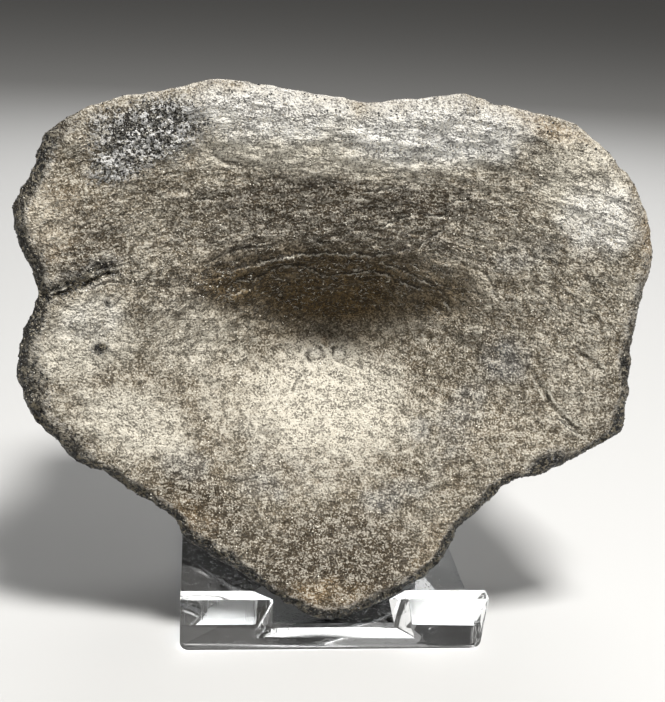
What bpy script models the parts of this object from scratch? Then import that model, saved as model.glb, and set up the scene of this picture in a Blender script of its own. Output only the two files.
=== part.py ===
"""Fossil ichthyosaur vertebra resting on its clear acrylic display stand.

The centrum stands on the keel of its underside, in the bevelled notch of a
low front bar, and leans back against a reclined rest. Metres, +Z up. The
origin is the middle of the stand's underside, on the floor; +X is to the right
as the front of the fossil is looked at, and +Y goes back. Every piece is
placed from the front bar's front face, and one empty carries them all.
"""

import math
from itertools import accumulate

import bmesh
import bpy
from mathutils import Matrix, Vector, noise

COLLECTION = "fossil_vertebra"
CUTTERS = "cutters"

# Clearance between pieces that touch on the real object
GAP = 0.0003

# Acrylic sheet and the front bar
SHEET = 0.0048
STAND_WIDTH = 0.076
BAR_HEIGHT = 0.0136
BAR_FOOT_RADIUS = 0.0022
BAR_TOP_RADIUS = 0.0005
BAR_RIGHT_FLARE = 0.0012
CORNER_STEPS = 5

# Notch in the bar: it widens by 45 degrees towards the back
NOTCH_LEFT = -0.0155
NOTCH_RIGHT_TOP = 0.0130
NOTCH_RIGHT_FLOOR = 0.0148
NOTCH_FLOOR = 0.0060
NOTCH_FLARE = SHEET

# Base plate, reclined rest and brace
BASE_DEPTH = 0.092
BASE_EDGE_BEVEL = 0.0003
REST_WIDTH = 0.050
REST_HEIGHT = 0.052
REST_CORNER_RADIUS = 0.009
BRACE_DEPTH = 0.012
BRACE_HEIGHT = 0.034
BRACE_TOE = 0.002

# Pose of the fossil: its faces lean back, its keel stays nearly level
LEAN = math.radians(8.0)
KEEL_POINT = Vector((0.0, 0.0042, 0.0062))
CENTRUM_LENGTH = 0.060

# Outline of the front face (across, up) in metres from the keel's point,
# clockwise from the keel
KEEL_LEFT = ((0.0, 0.0), (-0.0135, 0.0052), (-0.0240, 0.0126), (-0.0370, 0.0208))
LEFT_FLANK = ((-0.0402, 0.0255), (-0.0520, 0.0340), (-0.0648, 0.0417))
LEFT_LOWER_LOBE = ((-0.0732, 0.0506), (-0.0767, 0.0605), (-0.0764, 0.0690))
LEFT_NOTCH = ((-0.0733, 0.0775), (-0.0738, 0.0850))
LEFT_UPPER_LOBE = ((-0.0774, 0.0945), (-0.0770, 0.1022), (-0.0734, 0.1095))
TOP_LEFT = ((-0.0695, 0.1184), (-0.0572, 0.1255), (-0.0395, 0.1292), (-0.0285, 0.1310))
CANAL_FLOOR = ((-0.0125, 0.1290), (0.0020, 0.1270), (0.0160, 0.1274))
TOP_RIGHT = ((0.0278, 0.1292), (0.0355, 0.1266), (0.0500, 0.1246), (0.0600, 0.1188))
RIGHT_UPPER_LOBE = ((0.0700, 0.1088), (0.0742, 0.0980), (0.0752, 0.0888))
RIGHT_LOWER_LOBE = ((0.0728, 0.0770), (0.0718, 0.0620), (0.0708, 0.0500), (0.0660, 0.0450))
KEEL_RIGHT = ((0.0505, 0.0379), (0.0425, 0.0345), (0.0315, 0.0240), (0.0262, 0.0150), (0.0190, 0.0088))
FRONT_OUTLINE = (
    KEEL_LEFT
    + LEFT_FLANK
    + LEFT_LOWER_LOBE
    + LEFT_NOTCH
    + LEFT_UPPER_LOBE
    + TOP_LEFT
    + CANAL_FLOOR
    + TOP_RIGHT
    + RIGHT_UPPER_LOBE
    + RIGHT_LOWER_LOBE
    + KEEL_RIGHT
)

# Axis of the two pits, where it meets the front and the back face
FRONT_AXIS = Vector((-0.0017, 0.0655))
BACK_AXIS = Vector((0.0, 0.0635))

# Size of the back face against the front one
BACK_SCALE = 0.87

# Hollow faces: a wide bowl with a steeper pit
RIM_WIDTH = 0.0050
RIM_CROWN = 0.0034
FRONT_BOWL_DEPTH = 0.0150
FRONT_PIT_DEPTH = 0.0125
BACK_BOWL_DEPTH = 0.0130
BACK_PIT_DEPTH = 0.0095
BOWL_FALL = 1.4
BOWL_LIP = 1.3

# Pit: its height above and below the axis, and its height against its width
PIT_RADIUS_ABOVE = 0.030
PIT_RADIUS_BELOW = 0.042
PIT_SQUEEZE = 0.65
PIT_RING_RADIUS = 0.055

# Side between the faces
WAIST = 0.0065
WAIST_AT_TOP = 0.0025

# Groove that runs in from the left notch of the rim
GROOVE_ANGLE = math.radians(166.0)
GROOVE_INNER_RADIUS = 0.046
GROOVE_HALF_WIDTH = 0.0034
GROOVE_DEPTH = 0.0018

# Joint faces on the side: (across, up, back, height, half width)
FACETS = {
    "left_pedicle": (-0.034, 0.124, 0.034, 0.0022, 0.015),
    "right_pedicle": (0.032, 0.122, 0.034, 0.0022, 0.015),
    "left_upper_rib": (-0.074, 0.097, 0.020, 0.0035, 0.013),
    "right_upper_rib": (0.071, 0.093, 0.020, 0.0035, 0.013),
    "left_lower_rib": (-0.072, 0.058, 0.018, 0.0032, 0.012),
    "right_lower_rib": (0.068, 0.055, 0.018, 0.0032, 0.012),
}

# Natural unevenness of the bone: (length of a swell, height); it fades out
# towards the keel, which sits in the notch
LUMPS = ((0.024, 0.00060), (0.012, 0.00048))
LUMP_SEED = Vector((3.0, 5.1, -1.8))
LUMP_FADE = 0.018
LUMP_ALLOWANCE = 0.0006

# Mesh density of the fossil: points round the face and along a meridian
RING_POINTS = 84
MERIDIAN_STEPS = 44

# Shares of a meridian: front bowl, front rim, side, back rim, back bowl
MERIDIAN_SHARES = (0.36, 0.12, 0.16, 0.10, 0.26)


def clear_scene():
    """Remove what a new file starts with."""
    for thing in list(bpy.data.objects):
        bpy.data.objects.remove(thing, do_unlink=True)
    for name in (COLLECTION, CUTTERS):
        bpy.context.scene.collection.children.link(bpy.data.collections.new(name))


def make_material(name, colour, roughness, transmission=0.0):
    """Return a Principled material."""
    material = bpy.data.materials.new(name)
    material.use_nodes = True
    shader = material.node_tree.nodes["Principled BSDF"]
    shader.inputs["Base Color"].default_value = (*colour, 1.0)
    shader.inputs["Roughness"].default_value = roughness
    shader.inputs["Metallic"].default_value = 0.0
    shader.inputs["Transmission Weight"].default_value = transmission
    material.diffuse_color = (*colour, 1.0)
    return material


def add_mesh_object(name, bm, material, collection=COLLECTION):
    """Turn a bmesh into a named object in a collection."""
    mesh = bpy.data.meshes.new(name)
    bm.to_mesh(mesh)
    bm.free()
    if material is not None:
        mesh.materials.append(material)
    thing = bpy.data.objects.new(name, mesh)
    bpy.data.collections[collection].objects.link(thing)
    return thing


def smoothstep(low, high, value):
    """Return 0 below low, 1 above high, and a smooth rise between."""
    t = min(max((value - low) / (high - low), 0.0), 1.0)
    return t * t * (3.0 - 2.0 * t)


def rounded_outline(corners):
    """Return the points of a polygon whose corners (x, y, radius) are arcs.

    The corners run anticlockwise.
    """
    points = []
    count = len(corners)
    for i, (x, y, radius) in enumerate(corners):
        corner = Vector((x, y))
        before = (Vector(corners[i - 1][:2]) - corner).normalized()
        after = (Vector(corners[(i + 1) % count][:2]) - corner).normalized()
        half = before.angle(after) / 2.0
        if radius <= 0.0:
            points.append(corner)
            continue
        reach = radius / math.tan(half)
        middle = corner + (before + after).normalized() * (radius / math.sin(half))
        start = (corner + before * reach) - middle
        sweep = math.pi - 2.0 * half
        for step in range(CORNER_STEPS + 1):
            turn = Matrix.Rotation(sweep * step / CORNER_STEPS, 2)
            points.append(middle + turn @ start)
    return points


def extruded_outline(name, points, thickness, material):
    """Return a mesh object: a flat outline in XY, thickened along Z."""
    curve = bpy.data.curves.new(name + "_outline", "CURVE")
    curve.dimensions = "2D"
    curve.fill_mode = "BOTH"
    curve.extrude = thickness / 2.0
    spline = curve.splines.new("POLY")
    spline.points.add(len(points) - 1)
    for target, point in zip(spline.points, points):
        target.co = (point.x, point.y, 0.0, 1.0)
    spline.use_cyclic_u = True
    source = bpy.data.objects.new(name + "_outline", curve)
    bpy.context.scene.collection.objects.link(source)
    depsgraph = bpy.context.evaluated_depsgraph_get()
    mesh = bpy.data.meshes.new_from_object(source.evaluated_get(depsgraph))
    bm = bmesh.new()
    bm.from_mesh(mesh)
    bmesh.ops.remove_doubles(bm, verts=bm.verts, dist=0.000001)
    bmesh.ops.recalc_face_normals(bm, faces=bm.faces)
    bpy.data.objects.remove(source, do_unlink=True)
    return add_mesh_object(name, bm, material)


def box(name, low, high, material, collection=COLLECTION):
    """Return a box object between two opposite corners."""
    low, high = Vector(low), Vector(high)
    bm = bmesh.new()
    bmesh.ops.create_cube(bm, size=1.0)
    bmesh.ops.scale(bm, vec=high - low, verts=bm.verts)
    bmesh.ops.translate(bm, vec=(high + low) / 2.0, verts=bm.verts)
    return add_mesh_object(name, bm, material, collection)


def bevel_edges(thing, width):
    """Round a piece's sharp edges a little."""
    bevel = thing.modifiers.new("edge", "BEVEL")
    bevel.width = width
    bevel.segments = 1
    bevel.limit_method = "ANGLE"
    bevel.angle_limit = math.radians(40.0)


def cut(thing, cutter):
    """Subtract a cutter from a piece."""
    cutter.hide_render = True
    cutter.display_type = "WIRE"
    boolean = thing.modifiers.new("cut_" + cutter.name, "BOOLEAN")
    boolean.operation = "DIFFERENCE"
    boolean.object = cutter


def notch_cutter():
    """Return the wedge that opens the bar's notch, wider at the back."""
    bm = bmesh.new()
    bmesh.ops.create_cube(bm, size=2.0)
    over = 0.001
    top = BAR_HEIGHT + over
    slant = (NOTCH_RIGHT_TOP - NOTCH_RIGHT_FLOOR) / (BAR_HEIGHT - NOTCH_FLOOR)
    for vert in bm.verts:
        y = -over if vert.co.y < 0.0 else SHEET + over
        flare = NOTCH_FLARE * y / SHEET
        z = top if vert.co.z > 0.0 else NOTCH_FLOOR - flare
        if vert.co.x < 0.0:
            x = NOTCH_LEFT - flare
        else:
            x = NOTCH_RIGHT_FLOOR + slant * (z - NOTCH_FLOOR) + flare
        vert.co = (x, y, z)
    return add_mesh_object("notch_cutter", bm, None, CUTTERS)


def make_front_bar(material):
    """Make the low upright bar with the notch that the keel sits in."""
    half = STAND_WIDTH / 2.0
    corners = (
        (-half, 0.0, BAR_FOOT_RADIUS),
        (half - BAR_RIGHT_FLARE, 0.0, BAR_FOOT_RADIUS),
        (half, BAR_HEIGHT, BAR_TOP_RADIUS),
        (-half, BAR_HEIGHT, BAR_TOP_RADIUS),
    )
    bar = extruded_outline("stand_front_bar", rounded_outline(corners), SHEET, material)
    bar.rotation_euler = (math.radians(90.0), 0.0, 0.0)
    bar.location = (0.0, SHEET / 2.0, 0.0)
    cut(bar, notch_cutter())
    return bar


def make_base(material):
    """Make the flat plate that the stand rests on."""
    half = STAND_WIDTH / 2.0
    low = (-half, SHEET + GAP, 0.0)
    high = (half - BAR_RIGHT_FLARE, BASE_DEPTH, SHEET)
    base = box("stand_base", low, high, material)
    bevel_edges(base, BASE_EDGE_BEVEL)
    return base


def rest_front_y(z):
    """Return where the rest's front face is at a height."""
    back_crown = KEEL_POINT.y + CENTRUM_LENGTH + RIM_CROWN + LUMP_ALLOWANCE + GAP
    return back_crown + (z - KEEL_POINT.z) * math.tan(LEAN)


def make_back_rest(material):
    """Make the reclined leaf that the back rim leans on."""
    half = REST_WIDTH / 2.0
    bottom = -0.004
    corners = (
        (-half, bottom, 0.0),
        (half, bottom, 0.0),
        (half, REST_HEIGHT, REST_CORNER_RADIUS),
        (-half, REST_HEIGHT, REST_CORNER_RADIUS),
    )
    rest = extruded_outline("stand_back_rest", rounded_outline(corners), SHEET, material)
    foot = SHEET + GAP
    rest.rotation_euler = (math.radians(90.0) - LEAN, 0.0, 0.0)
    middle = rest_front_y(foot) + SHEET / 2.0 / math.cos(LEAN)
    rest.location = (0.0, middle, foot)
    below = box(
        "rest_foot_cutter",
        (-STAND_WIDTH, middle - 0.020, -0.010),
        (STAND_WIDTH, middle + 0.020, foot),
        None,
        CUTTERS,
    )
    cut(rest, below)
    return rest


def make_brace(material):
    """Make the upright web that holds the rest from behind."""
    foot = SHEET + GAP
    slab = (SHEET + GAP) / math.cos(LEAN)
    near = rest_front_y(foot) + slab
    top_z = foot + BRACE_HEIGHT
    top = rest_front_y(top_z) + slab
    corners = (
        (near, foot, 0.0),
        (near + BRACE_DEPTH, foot, 0.0),
        (near + BRACE_DEPTH, foot + BRACE_TOE, 0.0),
        (top + BRACE_TOE, top_z, 0.0),
        (top, top_z, 0.0),
    )
    brace = extruded_outline("stand_brace", rounded_outline(corners), SHEET, material)
    quarter = math.radians(90.0)
    brace.rotation_euler = (quarter, 0.0, quarter)
    return brace


def closed_curve(points, samples):
    """Return evenly spaced points on a smooth closed curve through points."""
    steps = 12
    dense = []
    count = len(points)
    for i in range(count):
        a, b, c, d = (Vector(points[(i + k) % count]) for k in (-1, 0, 1, 2))
        for step in range(steps):
            t = step / steps
            pull = 2.0 * b + (c - a) * t + (2.0 * a - 5.0 * b + 4.0 * c - d) * t * t
            dense.append((pull + (3.0 * b - a - 3.0 * c + d) * t ** 3) / 2.0)
    lengths = [0.0]
    for i, point in enumerate(dense):
        lengths.append(lengths[-1] + (dense[(i + 1) % len(dense)] - point).length)
    result = []
    k = 0
    for sample in range(samples):
        target = lengths[-1] * sample / samples
        while lengths[k + 1] < target:
            k += 1
        t = (target - lengths[k]) / (lengths[k + 1] - lengths[k])
        result.append(dense[k].lerp(dense[(k + 1) % len(dense)], t))
    return result


def bowl_point(t, edge, axis, bowl, pit):
    """Return a hollow face's (across, up) and its depth behind the rim's crown.

    t runs from 0 at the pit's axis to 1 at the crown. The rings of equal t
    are round at the pit and take the outline's shape towards the rim, and the
    pit itself is a wide oval.
    """
    arm = edge - axis
    crown = arm * (1.0 - RIM_WIDTH / arm.length)
    ring = arm.normalized() * PIT_RING_RADIUS
    offset = ring.lerp(crown, smoothstep(0.0, 1.0, t)) * t
    share = 0.5 + 0.5 * arm.y / arm.length
    pit_radius = PIT_RADIUS_BELOW + (PIT_RADIUS_ABOVE - PIT_RADIUS_BELOW) * share
    wide = bowl * (1.0 - t ** BOWL_FALL) ** BOWL_LIP
    reach = math.hypot(offset.x * PIT_SQUEEZE, offset.y)
    steep = pit * (1.0 - smoothstep(-0.004, pit_radius, reach))
    return axis + offset, wide + steep


def groove_depth(place):
    """Return the depth of the groove that runs in from the left notch."""
    arm = place - FRONT_AXIS
    angle = math.atan2(arm.y, arm.x) - GROOVE_ANGLE
    angle = math.atan2(math.sin(angle), math.cos(angle))
    beside = arm.length * angle / GROOVE_HALF_WIDTH
    along = smoothstep(GROOVE_INNER_RADIUS, GROOVE_INNER_RADIUS + 0.012, arm.length)
    return GROOVE_DEPTH * along * math.exp(-beside * beside)


def facet_height(across, up, back):
    """Return how far the joint faces raise the side at a point."""
    height = 0.0
    for facet_across, facet_up, facet_back, rise, half_width in FACETS.values():
        offset = Vector((across - facet_across, up - facet_up, back - facet_back))
        height += rise * math.exp(-((offset.length / half_width) ** 2))
    return height


def rim_point(turn, edge, axis):
    """Return a rim's (across, up) and its rise, from its crown to its edge.

    turn runs from 0 at the crown to a right angle at the outline.
    """
    arm = edge - axis
    inset = RIM_WIDTH * (1.0 - math.sin(turn))
    return axis + arm * (1.0 - inset / arm.length), RIM_CROWN * math.cos(turn)


def side_point(t, edge_front, edge_back):
    """Return the side's (across, up) and its distance back, from rim to rim."""
    axis = FRONT_AXIS.lerp(BACK_AXIS, t)
    edge = edge_front.lerp(edge_back, t)
    back = CENTRUM_LENGTH * t
    arm = edge - axis
    swell = math.sin(math.pi * t)
    top = smoothstep(0.3, 0.9, arm.y / arm.length)
    inset = (WAIST + (WAIST_AT_TOP - WAIST) * top) * swell ** 1.3
    inset -= facet_height(edge.x, edge.y, back) * swell ** 0.5
    return axis + arm * (1.0 - inset / arm.length), back


def meridian_point(share, edge_front):
    """Return (across, up, back) at a share of the way along a meridian.

    The meridian runs from the front pit over the front rim, the side and the
    back rim to the back pit. edge_front is the front outline's point on it.
    """
    edge_back = BACK_AXIS + (edge_front - FRONT_AXIS) * BACK_SCALE
    ends = list(accumulate(MERIDIAN_SHARES))
    quarter = math.pi / 2.0
    if share < ends[0]:
        t = share / MERIDIAN_SHARES[0]
        place, depth = bowl_point(t, edge_front, FRONT_AXIS, FRONT_BOWL_DEPTH, FRONT_PIT_DEPTH)
        back = depth + groove_depth(place) - RIM_CROWN
    elif share < ends[1]:
        t = (share - ends[0]) / MERIDIAN_SHARES[1]
        place, rise = rim_point(quarter * t, edge_front, FRONT_AXIS)
        back = groove_depth(place) * (1.0 - t) - rise
    elif share < ends[2]:
        t = (share - ends[1]) / MERIDIAN_SHARES[2]
        place, back = side_point(t, edge_front, edge_back)
    elif share < ends[3]:
        t = (share - ends[2]) / MERIDIAN_SHARES[3]
        place, rise = rim_point(quarter * (1.0 - t), edge_back, BACK_AXIS)
        back = CENTRUM_LENGTH + rise
    else:
        t = (1.0 - share) / MERIDIAN_SHARES[4]
        place, depth = bowl_point(t, edge_back, BACK_AXIS, BACK_BOWL_DEPTH, BACK_PIT_DEPTH)
        back = CENTRUM_LENGTH + RIM_CROWN - depth
    return place.x, place.y, back


def lumps(across, up, back):
    """Return a small push out or in that makes the bone uneven."""
    point = Vector((across, up, back))
    push = sum(rise * noise.noise(point / size + LUMP_SEED) for size, rise in LUMPS)
    return push * smoothstep(0.0, LUMP_FADE, up)


def make_vertebra(material):
    """Make the centrum: a disc hollow on both faces, with a waisted side."""
    ring = closed_curve(FRONT_OUTLINE, RING_POINTS)
    bm = bmesh.new()
    bmesh.ops.create_uvsphere(
        bm, u_segments=RING_POINTS, v_segments=MERIDIAN_STEPS, radius=1.0
    )
    up_slope = Vector((0.0, math.sin(LEAN), math.cos(LEAN)))
    pushes = []
    for vert in bm.verts:
        share = math.acos(min(max(vert.co.z, -1.0), 1.0)) / math.pi
        turn = math.atan2(vert.co.y, vert.co.x) / (2.0 * math.pi)
        edge = ring[round(turn * RING_POINTS) % RING_POINTS]
        across, up, back = meridian_point(share, edge)
        vert.co = KEEL_POINT + up_slope * up + Vector((across, back, 0.0))
        pushes.append(lumps(across, up, back))
    # The outline runs clockwise, which turns the sphere's faces inwards
    bmesh.ops.reverse_faces(bm, faces=bm.faces)
    bm.normal_update()
    for vert, push in zip(bm.verts, pushes):
        vert.co += vert.normal * push
    vertebra = add_mesh_object("vertebra", bm, material)
    vertebra.data.shade_smooth()
    return vertebra


def main():
    """Build the fossil and its stand."""
    clear_scene()
    bone = make_material("fossil_bone", (0.26, 0.23, 0.18), 0.72)
    acrylic = {
        name: make_material("acrylic_" + name, (0.90, 0.91, 0.93), 0.05, 1.0)
        for name in ("base", "front_bar", "back_rest", "brace")
    }
    pieces = [
        make_base(acrylic["base"]),
        make_front_bar(acrylic["front_bar"]),
        make_back_rest(acrylic["back_rest"]),
        make_brace(acrylic["brace"]),
        make_vertebra(bone),
    ]
    frame = bpy.data.objects.new("fossil_vertebra_frame", None)
    frame.location = (0.0, -BASE_DEPTH / 2.0, 0.0)
    bpy.data.collections[COLLECTION].objects.link(frame)
    for piece in pieces + list(bpy.data.collections[CUTTERS].objects):
        piece.parent = frame


main()
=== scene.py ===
"""Looks of the fossil ichthyosaur vertebra and its clear acrylic stand.

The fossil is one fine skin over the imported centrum, with its growth ridges,
cracks, groove and rough patch in the mesh and its mineral grain in the
material. The stand is rebuilt in clear sheet with polished, scuffed edges.
Metres throughout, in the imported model's own frame.
"""

import logging
import math
from dataclasses import dataclass
from enum import Enum

import bmesh
import bpy
import numpy as np
from mathutils import Matrix, Vector, noise


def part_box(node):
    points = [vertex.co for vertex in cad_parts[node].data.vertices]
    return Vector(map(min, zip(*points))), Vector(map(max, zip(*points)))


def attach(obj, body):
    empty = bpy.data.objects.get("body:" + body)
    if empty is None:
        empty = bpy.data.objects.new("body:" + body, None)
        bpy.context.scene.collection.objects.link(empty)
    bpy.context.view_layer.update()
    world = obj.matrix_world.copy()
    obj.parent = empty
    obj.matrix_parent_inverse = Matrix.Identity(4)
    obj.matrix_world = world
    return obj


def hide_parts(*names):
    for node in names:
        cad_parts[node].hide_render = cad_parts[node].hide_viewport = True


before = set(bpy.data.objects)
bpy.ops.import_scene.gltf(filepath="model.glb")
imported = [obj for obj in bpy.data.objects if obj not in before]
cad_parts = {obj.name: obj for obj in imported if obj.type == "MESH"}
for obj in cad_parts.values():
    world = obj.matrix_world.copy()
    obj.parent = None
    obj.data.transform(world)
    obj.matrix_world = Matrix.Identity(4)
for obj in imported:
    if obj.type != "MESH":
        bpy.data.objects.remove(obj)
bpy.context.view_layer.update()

LOG = logging.getLogger("fossil_vertebra")
MM = 0.001
Colour = tuple[float, float, float]
Corner = tuple[float, float]
Array = np.ndarray
Socket = bpy.types.NodeSocket


def smoothstep(low: float, high: float, value: Array) -> Array:
    """Return 0 below low, 1 above high and a smooth rise between."""
    t = np.clip((np.asarray(value, float) - low) / (high - low), 0.0, 1.0)
    return t * t * (3.0 - 2.0 * t)


def noise_at(points: Array, size: float, seed: float) -> Array:
    """Return smooth noise of about -1 to 1 at each point.

    Args:
        points: Places, one row each.
        size: Length of one swell, in the points' units.
        seed: Shifts the pattern.

    Returns:
        One value for each row.
    """
    shift = Vector((seed, 1.7 * seed, -0.6 * seed))
    return np.array([noise.noise(Vector(p) / size + shift) for p in points.tolist()])


def ridges_at(points: Array, size: float, seed: float) -> Array:
    """Return sharp-crested noise of 0 to 1 at each point.

    Args:
        points: Places, one row each.
        size: Length of one swell, in the points' units.
        seed: Shifts the pattern.

    Returns:
        One value for each row, 1 on the crests.
    """
    return 1.0 - np.minimum(np.abs(noise_at(points, size=size, seed=seed)) * 2.2, 1.0)


def curve_pieces(points: tuple[Array, Array, Array, Array], count: int) -> list[Array]:
    """Return a smooth curve's points between each pair of given points.

    Args:
        points: Rows before, at, after and beyond each stretch's start.
        count: Points on each stretch.

    Returns:
        The rows of each stretch, without its end.
    """
    steps = np.linspace(0.0, 1.0, count, endpoint=False)[:, None]
    pieces = []
    for a, b, c, d in zip(*points):
        pull = 2.0 * b + (c - a) * steps + (2.0 * a - 5.0 * b + 4.0 * c - d) * steps**2
        pieces.append((pull + (3.0 * b - a - 3.0 * c + d) * steps**3) / 2.0)
    return pieces


def arc(middle: Corner, radius: float, start: float, steps: int) -> list[Corner]:
    """Return points on an anticlockwise quarter circle.

    Args:
        middle: Its centre.
        radius: Its radius.
        start: Where it starts, in radians.
        steps: Stretches along it.

    Returns:
        One point more than it has stretches.
    """
    angles = [start + 0.5 * math.pi * step / steps for step in range(steps + 1)]
    return [(middle[0] + radius * math.cos(a), middle[1] + radius * math.sin(a)) for a in angles]


def new_mesh(name: str, bm: bmesh.types.BMesh) -> bpy.types.Mesh:
    """Turn a finished bmesh into a mesh and free it.

    Args:
        name: The mesh's name.
        bm: The finished bmesh.

    Returns:
        The new mesh.
    """
    mesh = bpy.data.meshes.new(name)
    bm.to_mesh(mesh)
    bm.free()
    return mesh


def new_object(name: str, mesh: bpy.types.ID) -> bpy.types.Object:
    """Link a mesh, light or camera into the scene as an object.

    Args:
        name: The object's name.
        mesh: Its mesh, light or camera data.

    Returns:
        The new object.
    """
    thing = bpy.data.objects.new(name, mesh)
    bpy.context.scene.collection.objects.link(thing)
    return thing


def apply_modifiers(thing: bpy.types.Object) -> bpy.types.Mesh:
    """Give an object the mesh that its modifiers make.

    Args:
        thing: The object, which loses its modifiers.

    Returns:
        Its new mesh.
    """
    depsgraph = bpy.context.evaluated_depsgraph_get()
    mesh = bpy.data.meshes.new_from_object(thing.evaluated_get(depsgraph))
    thing.modifiers.clear()
    thing.data = mesh
    return mesh


def hand_in(piece: bpy.types.Object, nodes: tuple[str, ...] = ()) -> None:
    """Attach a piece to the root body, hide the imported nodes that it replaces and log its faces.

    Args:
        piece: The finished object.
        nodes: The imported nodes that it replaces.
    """
    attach(piece, "root")
    if nodes:
        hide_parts(*nodes)
    LOG.info("%s: %d faces", piece.name, len(piece.data.polygons))


class Nodes:
    """Short ways to add and join the nodes of a material or group."""

    def __init__(self, tree: bpy.types.NodeTree) -> None:
        """Keep the tree that nodes are added to."""
        self.tree = tree

    def add(self, kind: str, **values: object) -> bpy.types.Node:
        """Add a node.

        Args:
            kind: The node's type.
            **values: Properties of the node.

        Returns:
            The new node.
        """
        node = self.tree.nodes.new(kind)
        for key, value in values.items():
            setattr(node, key, value)
        return node

    def join(self, source: object, target: Socket) -> None:
        """Feed a socket from another socket, or set it to a value.

        Args:
            source: A socket, or the value.
            target: The socket that is fed or set.
        """
        if isinstance(source, Socket):
            self.tree.links.new(source, target)
        else:
            target.default_value = source

    def maths(self, operation: str, *values: object) -> Socket:
        """Return the result of a Math node on sockets or numbers.

        Args:
            operation: The node's operation.
            *values: Sockets or numbers, in the node's order.

        Returns:
            The result's socket.
        """
        node = self.add("ShaderNodeMath", operation=operation)
        for value, socket in zip(values, node.inputs):
            self.join(value, socket)
        return node.outputs[0]

    def times(self, first: object, second: object) -> Socket:
        """Return the product of two sockets or numbers."""
        return self.maths("MULTIPLY", first, second)

    def plus(self, first: object, second: object) -> Socket:
        """Return the sum of two sockets or numbers."""
        return self.maths("ADD", first, second)

    def blend(self, factor: object, first: object, second: object) -> Socket:
        """Return a mix of two colours.

        Args:
            factor: Share of the second colour.
            first: Colour socket or RGB tuple.
            second: Colour socket or RGB tuple.

        Returns:
            The mixed colour's socket.
        """
        node = self.add("ShaderNodeMix", data_type="RGBA")
        node.clamp_factor = True
        self.join(factor, node.inputs[0])
        for value, socket in ((first, node.inputs[6]), (second, node.inputs[7])):
            self.join((*value, 1.0) if isinstance(value, tuple) else value, socket)
        return node.outputs[2]

    def span(self, value: object, low: float, high: float, start: float = 0.0, end: float = 1.0) -> Socket:
        """Return a value moved from one range to another, smoothly and clamped.

        Args:
            value: Socket or number that is moved.
            low: Where the first range starts.
            high: Where it ends.
            start: The result at low.
            end: The result at high.

        Returns:
            The result's socket.
        """
        node = self.add("ShaderNodeMapRange", interpolation_type="SMOOTHSTEP")
        for source, socket in zip((value, low, high, start, end), node.inputs):
            self.join(source, socket)
        return node.outputs[0]

    def attribute(self, name: str) -> bpy.types.Node:
        """Return a node that reads a mesh attribute."""
        return self.add("ShaderNodeAttribute", attribute_type="GEOMETRY", attribute_name=name)

    def noise(self, place: object, scale: float, detail: float = 2.0, rough: float = 0.5) -> Socket:
        """Return the value of a Noise texture.

        Args:
            place: Socket of the places.
            scale: Swells in one unit of the places.
            detail: Octaves on top of the first.
            rough: How strong each octave is.

        Returns:
            The socket of values of about 0 to 1.
        """
        node = self.add("ShaderNodeTexNoise")
        self.join(place, node.inputs["Vector"])
        node.inputs["Scale"].default_value = scale
        node.inputs["Detail"].default_value = detail
        node.inputs["Roughness"].default_value = rough
        return node.outputs[0]


def new_material(name: str) -> tuple[bpy.types.Material, Nodes, bpy.types.Node]:
    """Start a material.

    Args:
        name: The material's name.

    Returns:
        The material, its nodes and its shader.
    """
    material = bpy.data.materials.new(name)
    material.use_nodes = True
    return material, Nodes(material.node_tree), material.node_tree.nodes["Principled BSDF"]


def new_group(
    name: str, inputs: dict[str, str], outputs: dict[str, str]
) -> tuple[Nodes, bpy.types.Node, bpy.types.Node]:
    """Start a shader node group.

    Args:
        name: The group's name.
        inputs: Socket types by input name.
        outputs: Socket types by output name.

    Returns:
        Its nodes, its input node and its output node.
    """
    tree = bpy.data.node_groups.new(name, "ShaderNodeTree")
    for key, kind in inputs.items():
        tree.interface.new_socket(key, in_out="INPUT", socket_type=kind)
    for key, kind in outputs.items():
        tree.interface.new_socket(key, in_out="OUTPUT", socket_type=kind)
    nodes = Nodes(tree)
    return nodes, nodes.add("NodeGroupInput"), nodes.add("NodeGroupOutput")


FLOAT = "NodeSocketFloat"
VECTOR = "NodeSocketVector"


def build_grain_group() -> bpy.types.NodeTree:
    """Build the fine mineral grain: pale flecks, dark pores and a height.

    Returns:
        A group with a place and a density in, and three values out.
    """
    nodes, source, target = new_group(
        "mineral_grain",
        {"Place": VECTOR, "Density": FLOAT},
        {"Flecks": FLOAT, "Pores": FLOAT, "Height": FLOAT},
    )
    scaled = nodes.add("ShaderNodeVectorMath", operation="SCALE")
    nodes.join(source.outputs["Place"], scaled.inputs[0])
    nodes.join(source.outputs["Density"], scaled.inputs["Scale"])
    place = scaled.outputs[0]
    fine = nodes.noise(place, scale=1.0, detail=1.0, rough=0.6)
    broad = nodes.noise(place, scale=0.24, detail=2.0, rough=0.55)
    swell = nodes.times(nodes.maths("SUBTRACT", broad, 0.5), 0.62)
    level = nodes.plus(fine, swell)
    nodes.join(nodes.span(level, 0.52, 0.62), target.inputs["Flecks"])
    nodes.join(nodes.span(level, 0.48, 0.38), target.inputs["Pores"])
    nodes.join(level, target.inputs["Height"])
    return nodes.tree


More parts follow.
